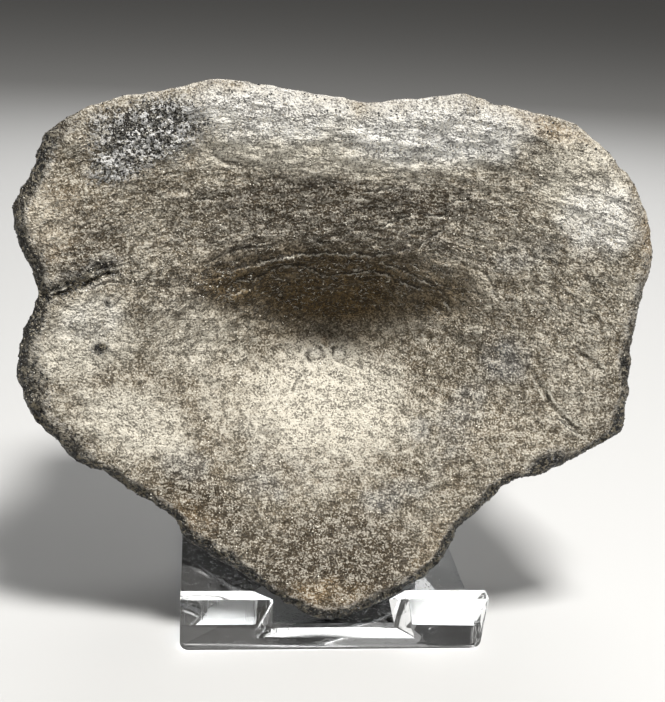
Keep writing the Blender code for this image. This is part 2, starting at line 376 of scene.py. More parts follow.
def build_scuff_group() -> bpy.types.NodeTree:
    """Build the fine scratches and smears of handled acrylic.

    Returns:
        A group with a place in, and scratches and smears out.
    """
    nodes, source, target = new_group(
        "acrylic_scuffs", {"Place": VECTOR}, {"Scratches": FLOAT, "Smears": FLOAT}
    )
    lines = []
    for turn, stretch, scale in ((0.35, 0.03, 900.0), (-0.8, 0.04, 700.0), (1.3, 0.05, 1100.0)):
        mapping = nodes.add("ShaderNodeMapping")
        nodes.join(source.outputs["Place"], mapping.inputs["Vector"])
        mapping.inputs["Rotation"].default_value = (turn, turn * 0.7, turn)
        mapping.inputs["Scale"].default_value = (1.0, 1.0, stretch)
        lines.append(nodes.span(nodes.noise(mapping.outputs[0], scale=scale, detail=1.0), 0.66, 0.72))
    scratches = nodes.maths("MAXIMUM", nodes.maths("MAXIMUM", lines[0], lines[1]), lines[2])
    dabs = nodes.noise(source.outputs["Place"], scale=60.0, detail=4.0, rough=0.6)
    smears = nodes.span(dabs, 0.45, 0.75)
    nodes.join(scratches, target.inputs["Scratches"])
    nodes.join(smears, target.inputs["Smears"])
    return nodes.tree


@dataclass(frozen=True)
class BoneFinish:
    """Mineralised bone: matt, granular, pale on the rims with a painted highlight, and dark in the pit,
    partly stained and partly painted shade.

    The fields are the colours of its zones, painted highlight and painted shade among them,
    and of its painted glints, its roughness and gloss, the number of grains and of swells in
    a metre and of flakes in a millimetre, the heights of its fine relief in millimetres, and
    how much colour its flecks, its pores with their painted shade, the painted highlights on
    its lip edges and the painted shadows in its gaps have.
    """

    brown: Colour = (0.160, 0.128, 0.084)
    grey: Colour = (0.250, 0.222, 0.172)
    # pale bone, and the painted highlight on the rims and the lower bowl
    pale: Colour = (0.540, 0.500, 0.415)
    # painted highlight: near-white, on the top rim and a few spots where light falls
    painted_highlight: Colour = (0.660, 0.650, 0.620)
    # dark brown stain, and painted shade on the brow above the pit
    umber_and_shade: Colour = (0.070, 0.050, 0.027)
    # dark brown stain of the pit, and painted shade on its steep upper wall
    pit: Colour = (0.044, 0.026, 0.006)
    black: Colour = (0.008, 0.008, 0.008)
    tan: Colour = (0.290, 0.200, 0.105)
    slate: Colour = (0.150, 0.150, 0.148)
    speck: Colour = (0.720, 0.680, 0.585)
    ochre: Colour = (0.400, 0.270, 0.110)
    # painted glints in the black crust
    painted_glint: Colour = (0.600, 0.595, 0.580)
    # painted glints on the dark edges, golden
    painted_gold_glint: Colour = (0.380, 0.330, 0.230)
    # dark of the pores, partly painted shade, and of the painted shadows in the gaps
    pore_and_shade: Colour = (0.014, 0.010, 0.005)
    roughness: float = 0.56
    gloss: float = 0.32
    grains: float = 2000.0
    grits: float = 1150.0
    swells: float = 190.0
    flakes: float = 1.0
    grain_height: float = 0.44
    lump_height: float = 2.0
    flake_height: float = 0.80
    leaf_height: float = 0.50
    lip_height: float = 0.26
    flecked: float = 0.46
    # how dark the pores are painted, partly as shade in the grain's hollows
    pored_and_shaded: float = 0.66
    # painted highlight on leaf and step lip edges, and painted shadow in their gaps
    leaf_lip_highlight: float = 0.55
    step_lip_highlight: float = 0.65
    seam_and_shadow: float = 0.9

    def material(self, name: str, grain: bpy.types.NodeTree) -> bpy.types.Material:
        """Build the bone's material.

        Args:
            name: The material's name.
            grain: The mineral grain group.

        Returns:
            The material.
        """
        material, nodes, shader = new_material(name)
        place = nodes.add("ShaderNodeTexCoord").outputs["Object"]
        ring = nodes.attribute("ring_place").outputs["Vector"]
        zone = {key: nodes.attribute(key).outputs["Fac"] for key in SKIN_MASKS}
        sand = self._grain(nodes, grain, place, self.grains)
        flake = self._grain(nodes, grain, ring, self.flakes)
        mottle = nodes.noise(place, scale=self.swells, detail=5.0, rough=0.68)
        leaf = self._leaves(nodes, ring, zone["leaves"])
        step = self._steps(nodes, place, zone)
        grit = self._grain(nodes, grain, place, self.grits)
        body = self._zones(nodes, ring, zone, mottle)
        # Fewer pale flecks in the pit and almost none on the dark edges, which are both partly painted shade
        calm = nodes.maths("SUBTRACT", 1.0, nodes.times(zone["pit"], 0.50))
        calm = nodes.times(calm, nodes.span(zone["edge"], 0.0, 0.8, 1.0, 0.08))
        layered = self._layered(nodes, ring, zone["leaves"])
        # less ringed grain where the near-white painted highlight lies
        layered = nodes.times(layered, nodes.span(zone["painted_highlight"], 0.0, 1.0, 1.0, 0.3))
        tinted = nodes.times(layered, 0.5)
        bright = nodes.maths("MAXIMUM", sand["Flecks"], nodes.times(flake["Flecks"], tinted))
        fleck = nodes.blend(zone["pit"], self.speck, self.ochre)
        body = nodes.blend(nodes.times(nodes.times(bright, calm), self.flecked), body, fleck)
        # darker pores, partly painted shade in the grain's hollows
        dim = nodes.maths("MAXIMUM", sand["Pores"], nodes.times(flake["Pores"], tinted))
        body = nodes.blend(nodes.times(dim, self.pored_and_shaded), body, self.pore_and_shade)
        # Painted glints: highlights painted into the black crust's colour, golden and fewer on the edges
        painted_glint_spots = nodes.span(grit["Height"], 0.48, 0.56)
        painted_glint_mask = nodes.times(zone["black"], nodes.span(zone["edge"], 0.0, 1.0, 1.0, 0.40))
        painted_glint = nodes.blend(zone["edge"], self.painted_glint, self.painted_gold_glint)
        body = nodes.blend(nodes.times(painted_glint_mask, painted_glint_spots), body, painted_glint)
        # Painted highlights on the lit lip edges, and painted shadows in the gaps of leaves, steps and
        # cracks, where the cracks are also partly dark crevices
        lip_highlights = nodes.times(leaf["pale"], self.leaf_lip_highlight), nodes.times(step["pale"], self.step_lip_highlight)
        light = nodes.maths("MAXIMUM", *lip_highlights)
        body = nodes.blend(light, body, self.speck)
        seams_and_shadows = nodes.times(leaf["dark"], self.seam_and_shadow), nodes.times(step["dark"], self.seam_and_shadow)
        body = nodes.blend(nodes.maths("MAXIMUM", *seams_and_shadows), body, self.pore_and_shade)
        nodes.join(body, shader.inputs["Base Color"])
        rough = nodes.span(mottle, 0.3, 0.7, self.roughness - 0.08, self.roughness + 0.12)
        rough = nodes.maths("SUBTRACT", rough, nodes.times(zone["black"], 0.22))
        nodes.join(rough, shader.inputs["Roughness"])
        shader.inputs["Specular IOR Level"].default_value = self.gloss
        coarse = nodes.plus(1.0, nodes.times(zone["black"], 1.2))
        height = nodes.times(nodes.times(sand["Height"], self.grain_height), coarse)
        for part, amount in (
            (nodes.times(grit["Height"], zone["black"]), 2.0 * self.grain_height),
            (mottle, self.lump_height),
            (nodes.times(flake["Height"], layered), self.flake_height),
            (leaf["height"], self.leaf_height),
            (step["height"], self.lip_height),
        ):
            height = nodes.plus(height, nodes.times(part, amount))
        bump = nodes.add("ShaderNodeBump")
        nodes.join(height, bump.inputs["Height"])
        bump.inputs["Distance"].default_value = MM
        bump.inputs["Strength"].default_value = 1.0
        nodes.join(bump.outputs["Normal"], shader.inputs["Normal"])
        return material

    def _zones(self, nodes: Nodes, ring: object, zone: dict[str, Socket], mottle: object) -> Socket:
        """Return the colour of the bone's zones, before its grain, painted highlight and painted shade among
        them.

        Args:
            nodes: The material's nodes.
            ring: Places in which a pattern runs in rings.
            zone: Mask sockets by name.
            mottle: Socket of the mottling.

        Returns:
            The colour's socket.
        """
        streak = nodes.noise(ring, scale=0.35, detail=4.0, rough=0.6)
        body = nodes.blend(nodes.span(mottle, 0.34, 0.66), self.brown, self.grey)
        body = nodes.blend(nodes.span(streak, 0.40, 0.66, 0.0, 0.4), body, self.brown)
        # The pale and near-white zones carry painted highlight, the dark brown and pit zones painted shade
        for key, colour in (
            ("umber_and_shade", self.umber_and_shade),
            ("slate", self.slate),
            ("tan", self.tan),
            ("pale", self.pale),
            ("painted_highlight", self.painted_highlight),
            ("pit", self.pit),
            ("black", self.black),
        ):
            body = nodes.blend(self._ragged(nodes, zone[key], mottle), body, colour)
        return body

    @staticmethod
    def _layered(nodes: Nodes, ring: object, leaves: object) -> Socket:
        """Return how much the grain runs in rings: most above, not at the pit.

        Args:
            nodes: The material's nodes.
            ring: Places in which a pattern runs in rings.
            leaves: Mask of the leafy bone.

        Returns:
            The share's socket.
        """
        radius = nodes.add("ShaderNodeSeparateXYZ")
        nodes.join(ring, radius.inputs[0])
        outer = nodes.span(radius.outputs["Z"], 16.0, 30.0)
        outer = nodes.times(outer, nodes.span(radius.outputs["Z"], 46.0, 58.0, 1.0, 0.45))
        return nodes.times(outer, nodes.span(leaves, 0.0, 1.0, 0.35, 0.95))

    @staticmethod
    def _leaves(nodes: Nodes, ring: object, where: object) -> dict[str, Socket]:
        """Draw the edges of thin worn leaves of bone: a painted highlight on each leaf's lit edge and painted
        shadow in the gap behind it.

        Args:
            nodes: The material's nodes.
            ring: Places in which a pattern runs in rings.
            where: Mask of the leafy bone.

        Returns:
            Sockets under "pale" (painted highlight), "dark" (painted shadow) and "height".
        """
        radius = nodes.add("ShaderNodeSeparateXYZ")
        nodes.join(ring, radius.inputs[0])
        wander = nodes.times(nodes.noise(ring, scale=0.20, detail=2.0, rough=0.5), 9.0)
        ragged = nodes.times(nodes.noise(ring, scale=0.75, detail=3.0, rough=0.65), 3.0)
        outward = nodes.times(radius.outputs["Z"], 0.26)
        level = nodes.plus(outward, nodes.plus(wander, ragged))
        saw = nodes.maths("FRACT", level)
        groups = nodes.noise(ring, scale=0.22, detail=2.0, rough=0.5)
        shown = nodes.times(where, nodes.span(groups, 0.36, 0.54))
        breaks = nodes.noise(ring, scale=1.3, detail=2.0, rough=0.6)
        broken = nodes.times(shown, nodes.span(breaks, 0.42, 0.56))
        # pale: painted highlight on each leaf's lit edge; dark: painted shadow in the gap behind it
        return {
            "pale": nodes.times(nodes.span(saw, 0.85, 0.96), broken),
            "dark": nodes.times(nodes.span(saw, 0.17, 0.04), broken),
            "height": nodes.times(saw, shown),
        }

    @staticmethod
    def _steps(nodes: Nodes, place: object, zone: dict[str, Socket]) -> dict[str, Socket]:
        """Draw the edges of the scarps and cracks: a painted highlight on the lit lip below each step and
        beside each crack, and painted shadow in the gap above each step; the cracks are dark crevices, partly
        painted shade.

        Args:
            nodes: The material's nodes.
            place: Socket of the places.
            zone: Mask sockets by name.

        Returns:
            Sockets under "pale" (painted highlight), "dark" (painted shadow, and the cracks' own darkness)
            and "height".
        """
        shake = nodes.noise(place, scale=620.0, detail=3.0, rough=0.7)
        shake = nodes.times(nodes.maths("SUBTRACT", shake, 0.5), 2.2)
        gap = nodes.plus(zone["scarp_gap"], shake)
        torn = nodes.span(nodes.noise(place, scale=330.0, detail=3.0, rough=0.7), 0.42, 0.58)
        # painted shadow in the fine gap above each step
        above = nodes.times(nodes.span(gap, -0.05, 0.07), nodes.span(gap, 0.95, 0.25))
        # painted highlight on the lit lip below each step
        below = nodes.times(nodes.span(gap, 0.04, -0.06), nodes.span(gap, -0.60, -0.16))
        below = nodes.times(below, torn)
        lip = nodes.times(nodes.span(gap, 0.08, -0.06), nodes.span(gap, -4.5, -0.1))
        drift = nodes.times(nodes.maths("ABSOLUTE", shake), 0.35)
        split = nodes.plus(zone["crack_gap"], drift)
        worn = nodes.times(zone["crack_force"], nodes.span(torn, 0.0, 1.0, 0.4, 1.0))
        # dark crack: a crevice, partly painted shade
        crack = nodes.times(nodes.span(split, 0.66, 0.20), worn)
        # painted highlight on the lit lip beside each crack
        rim = nodes.times(nodes.span(split, 0.62, 0.85), nodes.span(split, 1.5, 1.0))
        rim = nodes.times(nodes.times(rim, zone["crack_force"]), torn)
        dark = nodes.maths("MAXIMUM", nodes.times(above, zone["scarp_force"]), crack)
        height = nodes.maths("SUBTRACT", nodes.times(lip, zone["scarp_force"]), dark)
        pale = nodes.maths("MAXIMUM", nodes.times(below, zone["scarp_force"]), rim)
        return {"pale": pale, "dark": dark, "height": height}

    @staticmethod
    def _grain(
        nodes: Nodes, group: bpy.types.NodeTree, place: object, density: float
    ) -> dict[str, Socket]:
        """Place the grain group.

        Args:
            nodes: The material's nodes.
            group: The mineral grain group.
            place: Socket of the places.
            density: Grains in one unit of the places.

        Returns:
            Its outputs by name.
        """
        node = nodes.add("ShaderNodeGroup", node_tree=group)
        nodes.join(place, node.inputs["Place"])
        node.inputs["Density"].default_value = density
        return {socket.name: socket for socket in node.outputs}

    @staticmethod
    def _ragged(nodes: Nodes, mask: object, mottle: object) -> Socket:
        """Return a mask whose edge is broken up by the mottling."""
        pushed = nodes.plus(mask, nodes.times(nodes.maths("SUBTRACT", mottle, 0.5), 1.1))
        return nodes.times(nodes.span(pushed, 0.0, 1.0), nodes.span(mask, 0.0, 0.3))


@dataclass(frozen=True)
class CrumbFinish:
    """Loose-looking mineral grains, from dull to glassy.

    The fields are its two colours, its roughness and its grains in a metre.
    """

    dark: Colour
    bright: Colour
    roughness: float
    grains: float = 700.0

    def material(self, name: str, grain: bpy.types.NodeTree) -> bpy.types.Material:
        """Build the grains' material.

        Args:
            name: The material's name.
            grain: The mineral grain group.

        Returns:
            The material.
        """
        material, nodes, shader = new_material(name)
        place = nodes.add("ShaderNodeTexCoord").outputs["Object"]
        group = nodes.add("ShaderNodeGroup", node_tree=grain)
        nodes.join(place, group.inputs["Place"])
        group.inputs["Density"].default_value = self.grains
        nodes.join(nodes.blend(group.outputs["Flecks"], self.dark, self.bright), shader.inputs["Base Color"])
        shader.inputs["Roughness"].default_value = self.roughness
        return material


@dataclass(frozen=True)
class AcrylicFinish:
    """Clear cast sheet, from polished to satin.

    The fields are its tint, its roughness, its bump and how much it is worn.
    """

    tint: Colour = (0.975, 0.982, 0.985)
    roughness: float = 0.015
    wear: float = 0.12
    relief: float = 0.00002
    index: float = 1.49
    shadow: Colour = (0.94, 0.95, 0.96)

    def material(self, name: str, scuffs: bpy.types.NodeTree) -> bpy.types.Material:
        """Build the sheet's material.

        Args:
            name: The material's name.
            scuffs: The scuff group.

        Returns:
            The material.
        """
        material, nodes, shader = new_material(name)
        shader.inputs["Base Color"].default_value = (*self.tint, 1.0)
        shader.inputs["Transmission Weight"].default_value = 1.0
        shader.inputs["IOR"].default_value = self.index
        group = nodes.add("ShaderNodeGroup", node_tree=scuffs)
        nodes.join(nodes.add("ShaderNodeTexCoord").outputs["Object"], group.inputs["Place"])
        worn = nodes.maths("MAXIMUM", group.outputs["Scratches"], nodes.times(group.outputs["Smears"], 0.4))
        rough = nodes.plus(self.roughness, nodes.times(worn, self.wear))
        nodes.join(rough, shader.inputs["Roughness"])
        bump = nodes.add("ShaderNodeBump")
        nodes.join(group.outputs["Scratches"], bump.inputs["Height"])
        bump.inputs["Distance"].default_value = self.relief
        nodes.join(bump.outputs["Normal"], shader.inputs["Normal"])
        self._let_lamps_through(nodes, shader)
        return material

    def _let_lamps_through(self, nodes: Nodes, shader: bpy.types.Node) -> None:
        """Let lamps shine through the sheet, so that it casts a clear shadow.

        Args:
            nodes: The material's nodes.
            shader: The sheet's shader.
        """
        mix = nodes.add("ShaderNodeMixShader")
        clear = nodes.add("ShaderNodeBsdfTransparent")
        clear.inputs["Color"].default_value = (*self.shadow, 1.0)
        nodes.join(nodes.add("ShaderNodeLightPath").outputs["Is Shadow Ray"], mix.inputs[0])
        nodes.join(shader.outputs[0], mix.inputs[1])
        nodes.join(clear.outputs[0], mix.inputs[2])
        output = nodes.tree.nodes["Material Output"]
        nodes.join(mix.outputs[0], output.inputs["Surface"])


MATRIX = CrumbFinish((0.010, 0.010, 0.010), (0.120, 0.114, 0.100), 0.34)
CALCITE = CrumbFinish((0.34, 0.30, 0.23), (0.80, 0.76, 0.66), 0.62)


class Stain(Enum):
    """The zones that the bone's colour is made of, painted highlight and painted shade among them."""

    PALE_AND_HIGHLIGHT = "pale"
    PAINTED_HIGHLIGHT = "painted_highlight"
    UMBER_AND_SHADE = "umber_and_shade"
    PIT_STAIN_AND_SHADE = "pit"
    BLACK = "black"
    TAN = "tan"
    SLATE = "slate"


SKIN_MASKS = tuple(stain.value for stain in Stain) + (
    "leaves",
    "scarp_gap",
    "scarp_force",
    "crack_gap",
    "crack_force",
    "crumbs",
    "edge",
)


def lift(masks: dict[str, Array], key: str, weight: Array) -> None:
    """Raise a mask to at least the given weight."""
    masks[key] = np.maximum(masks[key], weight)


@dataclass(frozen=True)
class Patch:
    """A soft oval zone of the front face, in millimetres of (across, up).

    Attributes:
        stain: The zone's colour.
        middle: Its centre.
        radii: Its half width and half height before it is turned.
        turn: Its turn in degrees, anticlockwise.
        strength: How full its colour is at the middle.
    """

    stain: Stain
    middle: Corner
    radii: Corner
    turn: float = 0.0
    strength: float = 1.0

    def weight(self, across: Array, up: Array) -> Array:
        """Return the zone's strength at places in millimetres.

        Args:
            across: Distances to the right.
            up: Heights.

        Returns:
            One strength for each place.
        """
        angle = math.radians(self.turn)
        x, y = across - self.middle[0], up - self.middle[1]
        along = (x * math.cos(angle) + y * math.sin(angle)) / self.radii[0]
        beside = (y * math.cos(angle) - x * math.sin(angle)) / self.radii[1]
        return self.strength * (1.0 - smoothstep(0.35, 1.25, np.hypot(along, beside)))


@dataclass(frozen=True)
class Scarp:
    """A thin step or crack along a line on the front face, in millimetres.

    The bone stands proud on the lower side of a step, and a fine gap runs
    above it. The points of a step run from left to right.

    Attributes:
        name: What it is.
        points: Its line, as (across, up) points.
        force: How high and how dark it is, from 0 to 1.
        crack: Whether it is a plain crack.
    """

    name: str
    points: tuple[Corner, ...]
    force: float = 1.0
    crack: bool = False

    def line(self) -> Array:
        """Return a smooth line through the points.

        Returns:
            One (across, up) row for each place on it.
        """
        points = np.array(self.points, float)
        points = np.concatenate([2 * points[:1] - points[1:2], points, 2 * points[-1:] - points[-2:-1]])
        pieces = curve_pieces((points, points[1:], points[2:], points[3:]), 5)
        return np.concatenate(pieces + [points[-2:-1]])

    def measure(self, across: Array, up: Array) -> tuple[Array, Array]:
        """Measure places against the line.

        Args:
            across: Distances to the right.
            up: Heights.

        Returns:
            Signed distances from the line, positive above it, and the force
            left there, which fades at the ends.
        """
        line = self.line()
        runs = np.hypot(*np.diff(line, axis=0).T)
        starts = np.concatenate([[0.0], np.cumsum(runs)])
        best = np.full(across.shape, 1e9)
        signed, along = best.copy(), np.zeros(across.shape)
        for (ax, ay), (bx, by), start, run in zip(line, line[1:], starts, runs):
            dx, dy = (bx - ax) / run, (by - ay) / run
            t = np.clip((across - ax) * dx + (up - ay) * dy, 0.0, run)
            away = np.hypot(across - ax - t * dx, up - ay - t * dy)
            nearer = away < best
            side = np.where(dx * (up - ay) - dy * (across - ax) < 0.0, -1.0, 1.0)
            signed = np.where(nearer, away * side, signed)
            along = np.where(nearer, start + t, along)
            best = np.minimum(best, away)
        share = along / starts[-1]
        return signed, self.force * smoothstep(0.0, 0.15, share) * (1.0 - smoothstep(0.85, 1.0, share))


def ring_points(middle: Corner, radius: float, start: float, sweep: float) -> tuple[Corner, ...]:
    """Return points on an uneven ring, for the rim of a small healed hole.

    Args:
        middle: Its centre, in millimetres.
        radius: Its radius.
        start: Where it starts, in degrees anticlockwise from the right.
        sweep: How far it turns.

    Returns:
        Seven points.
    """
    angles = [math.radians(start + sweep * step / 6) for step in range(7)]
    reaches = [radius * (1.0 + 0.22 * math.sin(2.3 * a + middle[0])) for a in angles]
    return tuple((middle[0] + r * math.cos(a), middle[1] + r * math.sin(a)) for a, r in zip(angles, reaches))


def patches(stain: Stain, *rows: tuple[float, ...]) -> tuple[Patch, ...]:
    """Return a stain's patches from rows of middle, radii, turn and strength."""
    return tuple(Patch(stain, row[:2], row[2:4], *row[4:]) for row in rows)


FRONT_PATCHES = (
    # Painted highlight: near-white brightening of the top rim, which faces the light, and of a spot on the
    # left
    *patches(
        Stain.PAINTED_HIGHLIGHT,
        (-18, 123.5, 26, 8, -2, 0.7), (20, 120, 28, 9, 2, 0.9), (61, 101, 12, 11, 0, 0.6),
        (-52, 119, 8, 3.5, 30, 0.5), (-60, 74, 10, 6, 10, 0.45),
    ),
    # Pale bone, mostly painted highlight on the top rim, the lower bowl and the left side, which face the
    # light
    *patches(
        Stain.PALE_AND_HIGHLIGHT,
        (57, 108, 13, 17, 35, 0.75), (-50, 50, 17, 9, -25, 0.9), (24, 24, 10, 8, 45, 0.2),
        (0, 35, 20, 6, 0, 0.35), (-70, 98, 9, 10, 0, 0.4), (-62, 68, 17, 9, 10, 0.85),
        (-60, 76, 11, 6, 12, 0.8), (-36, 68, 16, 12, -35, 0.55), (-2, 50, 27, 15, 0, 1),
        (-24, 53, 16, 12, -40, 0.5), (58, 58, 10, 12, 0, 0.35), (0, 117, 50, 9, 0, 0.85),
    ),
    # Dark brown stain, and painted shade on the brow above the pit, whose face turns down away from the light
    *patches(
        Stain.UMBER_AND_SHADE,
        (-4, 93.5, 42, 10, 0, 0.65), (32, 84, 18, 9, 12, 0.15), (-34, 82, 16, 8, 10, 0.6),
        (0, 102, 46, 9, 0, 0.95), (0, 20, 24, 9, 0, 0.9), (-32, 29, 20, 9, -38, 0.8),
        (63, 55, 10, 13, 0, 0.45), (-62, 92, 13, 11, 0, 0.75), (36, 62, 9, 18, -25, 0.35),
        (-2, 14, 26, 13, 0, 1),
    ),
    # Dark brown stain of the pit, and painted shade on its steep upper wall under the brow
    *patches(
        Stain.PIT_STAIN_AND_SHADE,
        (-2, 77, 25, 11, 0, 1), (-3, 84, 36, 8.5, 0, 0.85), (-24, 81, 14, 8, -8, 0.85),
        (21, 79, 15, 8, 12, 0.7), (-1, 68, 18, 7, 0, 0.35),
    ),
    *patches(
        Stain.BLACK,
        (-46.5, 119, 15, 8.5, 20, 1), (-53.5, 111.5, 8, 5, 25, 0.95),
        (-55, 121, 8, 4.5, 20, 0.55), (-71.5, 112, 3.5, 7, -25, 0.75),
        (-73, 87, 3.5, 8, 10, 0.85), (-73, 60, 4, 12, 5, 0.75), (-66, 46, 4, 9, 50, 0.8),
        (-57.6, 68, 2.3, 2.1, 0, 1), (-55.9, 78.7, 1.2, 1.2, 0, 0.7), (52, 41, 7, 3.4, 20, 1),
        (66, 45.5, 8, 2.2, 28, 0.9), (42, 35.5, 6, 2.2, 35, 0.9), (73.5, 78, 2.6, 8, 0, 0.6),
    ),
    *patches(
        Stain.SLATE,
        (41, 65, 8, 7, 20, 0.6), (30, 48, 6, 16, -25, 0.4), (30, 119, 7, 6, 0, 0.5),
        (-14, 40, 18, 8, -30, 0.35), (21, 46, 4, 3.5, 0, 0.7), (-38, 40, 9, 5, -20, 0.5),
        (14, 31, 12, 4.5, 20, 0.5), (-18, 33, 10, 4, -15, 0.45), (44, 92, 12, 5, 20, 0.4),
        (-4.5, 60.2, 2.2, 2.2, 0, 0.9), (1.7, 60.1, 2, 2, 0, 0.8), (37, 117, 5, 4, 0, 0.8),
    ),
    *patches(
        Stain.TAN,
        (-68, 98, 7, 13, -10, 0.45), (-2, 73, 14, 4, 0, 0.5), (-74, 99, 4, 10, 0, 0.4),
        (74, 98, 3.5, 14, 0, 0.5), (24, 20, 6, 12, -28, 0.35), (-38, 29, 14, 5, -36, 0.35),
        (-1.9, 63.2, 1.4, 1.8, 0, 0.8), (35, 27, 11, 4, 45, 0.55), (-2, 8, 15, 4.5, 0, 0.5),
        (72.5, 62, 3.5, 13, 0, 0.5), (50, 121, 14, 3, -22, 0.55), (-68, 36, 10, 4, -40, 0.4),
    ),
)

LEAFY_BROW = Patch(Stain.PIT_STAIN_AND_SHADE, (-3.0, 86.0), (40.0, 12.0))


def line_through(*numbers: float) -> tuple[Corner, ...]:
    """Return numbers as (across, up) points."""
    return tuple(zip(numbers[::2], numbers[1::2]))


SCARPS = (
    Scarp("flake_top", line_through(
        3.4, 105.7, 6.7, 106.0, 10.0, 106.3, 12.9, 106.8, 15.8, 107.1,
    ), 0.8),
    Scarp("flake_upper", line_through(
        7.1, 96.5, 9.0, 97.2, 11.3, 98.2, 12.8, 98.7, 15.4, 99.8, 18.5, 100.3, 21.1, 100.2,
        26.6, 100.2,
    ), 0.95),
    Scarp("flake_mid", line_through(-2.1, 96.6, 2.1, 97.6, 6.3, 98.3, 8.2, 98.2), 0.6),
    Scarp("flake_right", line_through(24.4, 103.0, 26.6, 104.1, 28.5, 104.5, 30.4, 104.4), 0.8),
    Scarp("flake_right_end", line_through(31.7, 103.6, 34.3, 104.1, 36.6, 104.0), 0.6),
    Scarp("flake_join", line_through(
        13.5, 89.9, 15.6, 91.8, 18.0, 91.9, 20.5, 94.1, 24.2, 96.5, 25.9, 98.8,
    ), 0.7),
    Scarp("brow_top", line_through(
        -32.8, 81.2, -27.8, 84.6, -23.0, 86.3, -18.1, 87.2, -12.5, 88.8, -5.3, 89.5, -0.4, 89.4,
        6.3, 89.3, 11.0, 90.4, 17.2, 92.0,
    ), 0.85),
    Scarp("brow_second", line_through(
        -31.1, 80.1, -25.3, 82.3, -19.6, 82.8, -14.8, 85.5, -10.6, 86.0, -7.4, 85.1, -3.0, 83.1,
        3.4, 84.2, 10.0, 84.6, 14.3, 83.1, 18.3, 81.5, 22.6, 79.7, 25.9, 77.3,
    ), 0.8),
    Scarp("brow_third", line_through(
        -30.1, 78.1, -26.2, 79.1, -20.3, 81.1, -15.4, 82.3, -12.1, 81.6,
    ), 0.6),
    Scarp("brow_left_upper", line_through(-34.3, 85.4, -29.6, 88.6, -24.8, 90.3, -18.3, 91.0), 0.6),
    Scarp("brow_right", line_through(
        6.5, 87.0, 10.4, 87.5, 14.6, 86.4, 19.7, 83.9, 24.8, 80.8, 28.3, 76.6,
    ), 0.75),
    Scarp("brow_right_upper", line_through(9.3, 90.8, 15.8, 91.2, 20.4, 94.0), 0.6),
    Scarp("brow_small", line_through(-2.2, 86.6, 0.2, 86.4, 2.7, 85.6), 0.5),
    Scarp("brow_low", line_through(-13.9, 78.0, -8.1, 79.3, -1.9, 80.0, 3.5, 80.8, 8.6, 79.9), 0.45),
    Scarp("nick_a", line_through(-8.5, 93.5, -5.7, 92.5, -4.5, 91.9), 0.7),
    Scarp("nick_b", line_through(-22.4, 107.9, -20.5, 107.8, -19.4, 107.0), 0.7),
    Scarp("nick_c", line_through(-40.2, 105.4, -38.6, 104.9, -36.8, 104.6), 0.7),
    Scarp("nick_d", line_through(-36.8, 102.8, -34.2, 102.7, -31.1, 102.9), 0.7),
    Scarp("nick_e", line_through(-47.0, 104.7, -44.6, 103.4, -42.1, 104.1), 0.6),
    Scarp("crack_top_left", line_through(
        -32.4, 113.7, -30.0, 112.8, -27.8, 111.9, -25.5, 111.2, -23.3, 110.8,
    ), 0.7, True),
    Scarp("nick_f", line_through(-41.4, 96.9, -40.6, 98.3, -39.8, 99.5), 0.5, True),
    Scarp("thin_right_a", line_through(
        32.8, 87.7, 35.3, 85.4, 37.4, 82.7, 37.9, 80.7, 39.6, 78.0,
    ), 0.6),
    Scarp("thin_right_b", line_through(41.5, 83.4, 42.6, 78.7), 0.4),
    Scarp("thin_right_c", line_through(24.5, 80.0, 26.6, 77.6, 28.3, 75.3), 0.5),
    Scarp("low_line", line_through(-20.4, 44.5, -16.3, 43.7, -12.3, 44.0, -8.7, 43.4), 0.5, True),
    Scarp("low_line_right", line_through(14.4, 40.9, 17.3, 42.0, 19.9, 43.4, 22.9, 46.9), 0.5, True),
    Scarp("ring_edge", line_through(-24.9, 51.6, -23.9, 49.4, -19.9, 44.6), 0.4, True),
    Scarp("crack_side", line_through(56.5, 69.7, 59.2, 67.9, 62.0, 66.1, 64.8, 64.0), 0.8, True),
    Scarp("crack_right", line_through(
        47.5, 63.2, 50.0, 58.8, 52.5, 54.9, 55.5, 51.9, 58.5, 49.5, 61.9, 47.9,
    ), 1, True),
    Scarp("crack_right_lip", line_through(52.6, 52.4, 55.8, 50.0, 59.0, 47.8), 0.9),
    Scarp("groove", line_through(
        -70.6, 79.5, -66.1, 81.1, -63.7, 82.2, -60.9, 82.9, -58.4, 84.5, -56.6, 85.4,
        -52.2, 85.0,
    ), 1, True),
    Scarp("groove_lip", line_through(-59.6, 81.6, -57.3, 82.8, -55.3, 83.1, -51.0, 82.7), 0.9),
    Scarp("scratch_left", line_through(-38.4, 64.7, -37.1, 63.2, -35.9, 61.4), 0.8, True),
    Scarp("scratch_left_low", line_through(-34.2, 58.8, -32.4, 57.1, -30.7, 55.0), 0.6, True),
    Scarp("pit_line", line_through(-6.1, 58.4, -7.7, 56.0, -9.5, 53.5, -11.1, 51.4), 0.75, True),
    Scarp("ring_left", ring_points((-4.5, 60.2), 2.0, 100.0, -350.0), 0.9, True),
    Scarp("ring_right", ring_points((1.7, 60.1), 1.8, 80.0, 350.0), 0.8, True),
)


@dataclass(frozen=True)
class Facet:
    """A joint face on the side, in metres of (across, up, back)."""

    middle: tuple[float, float, float]
    rise: float
    half_width: float


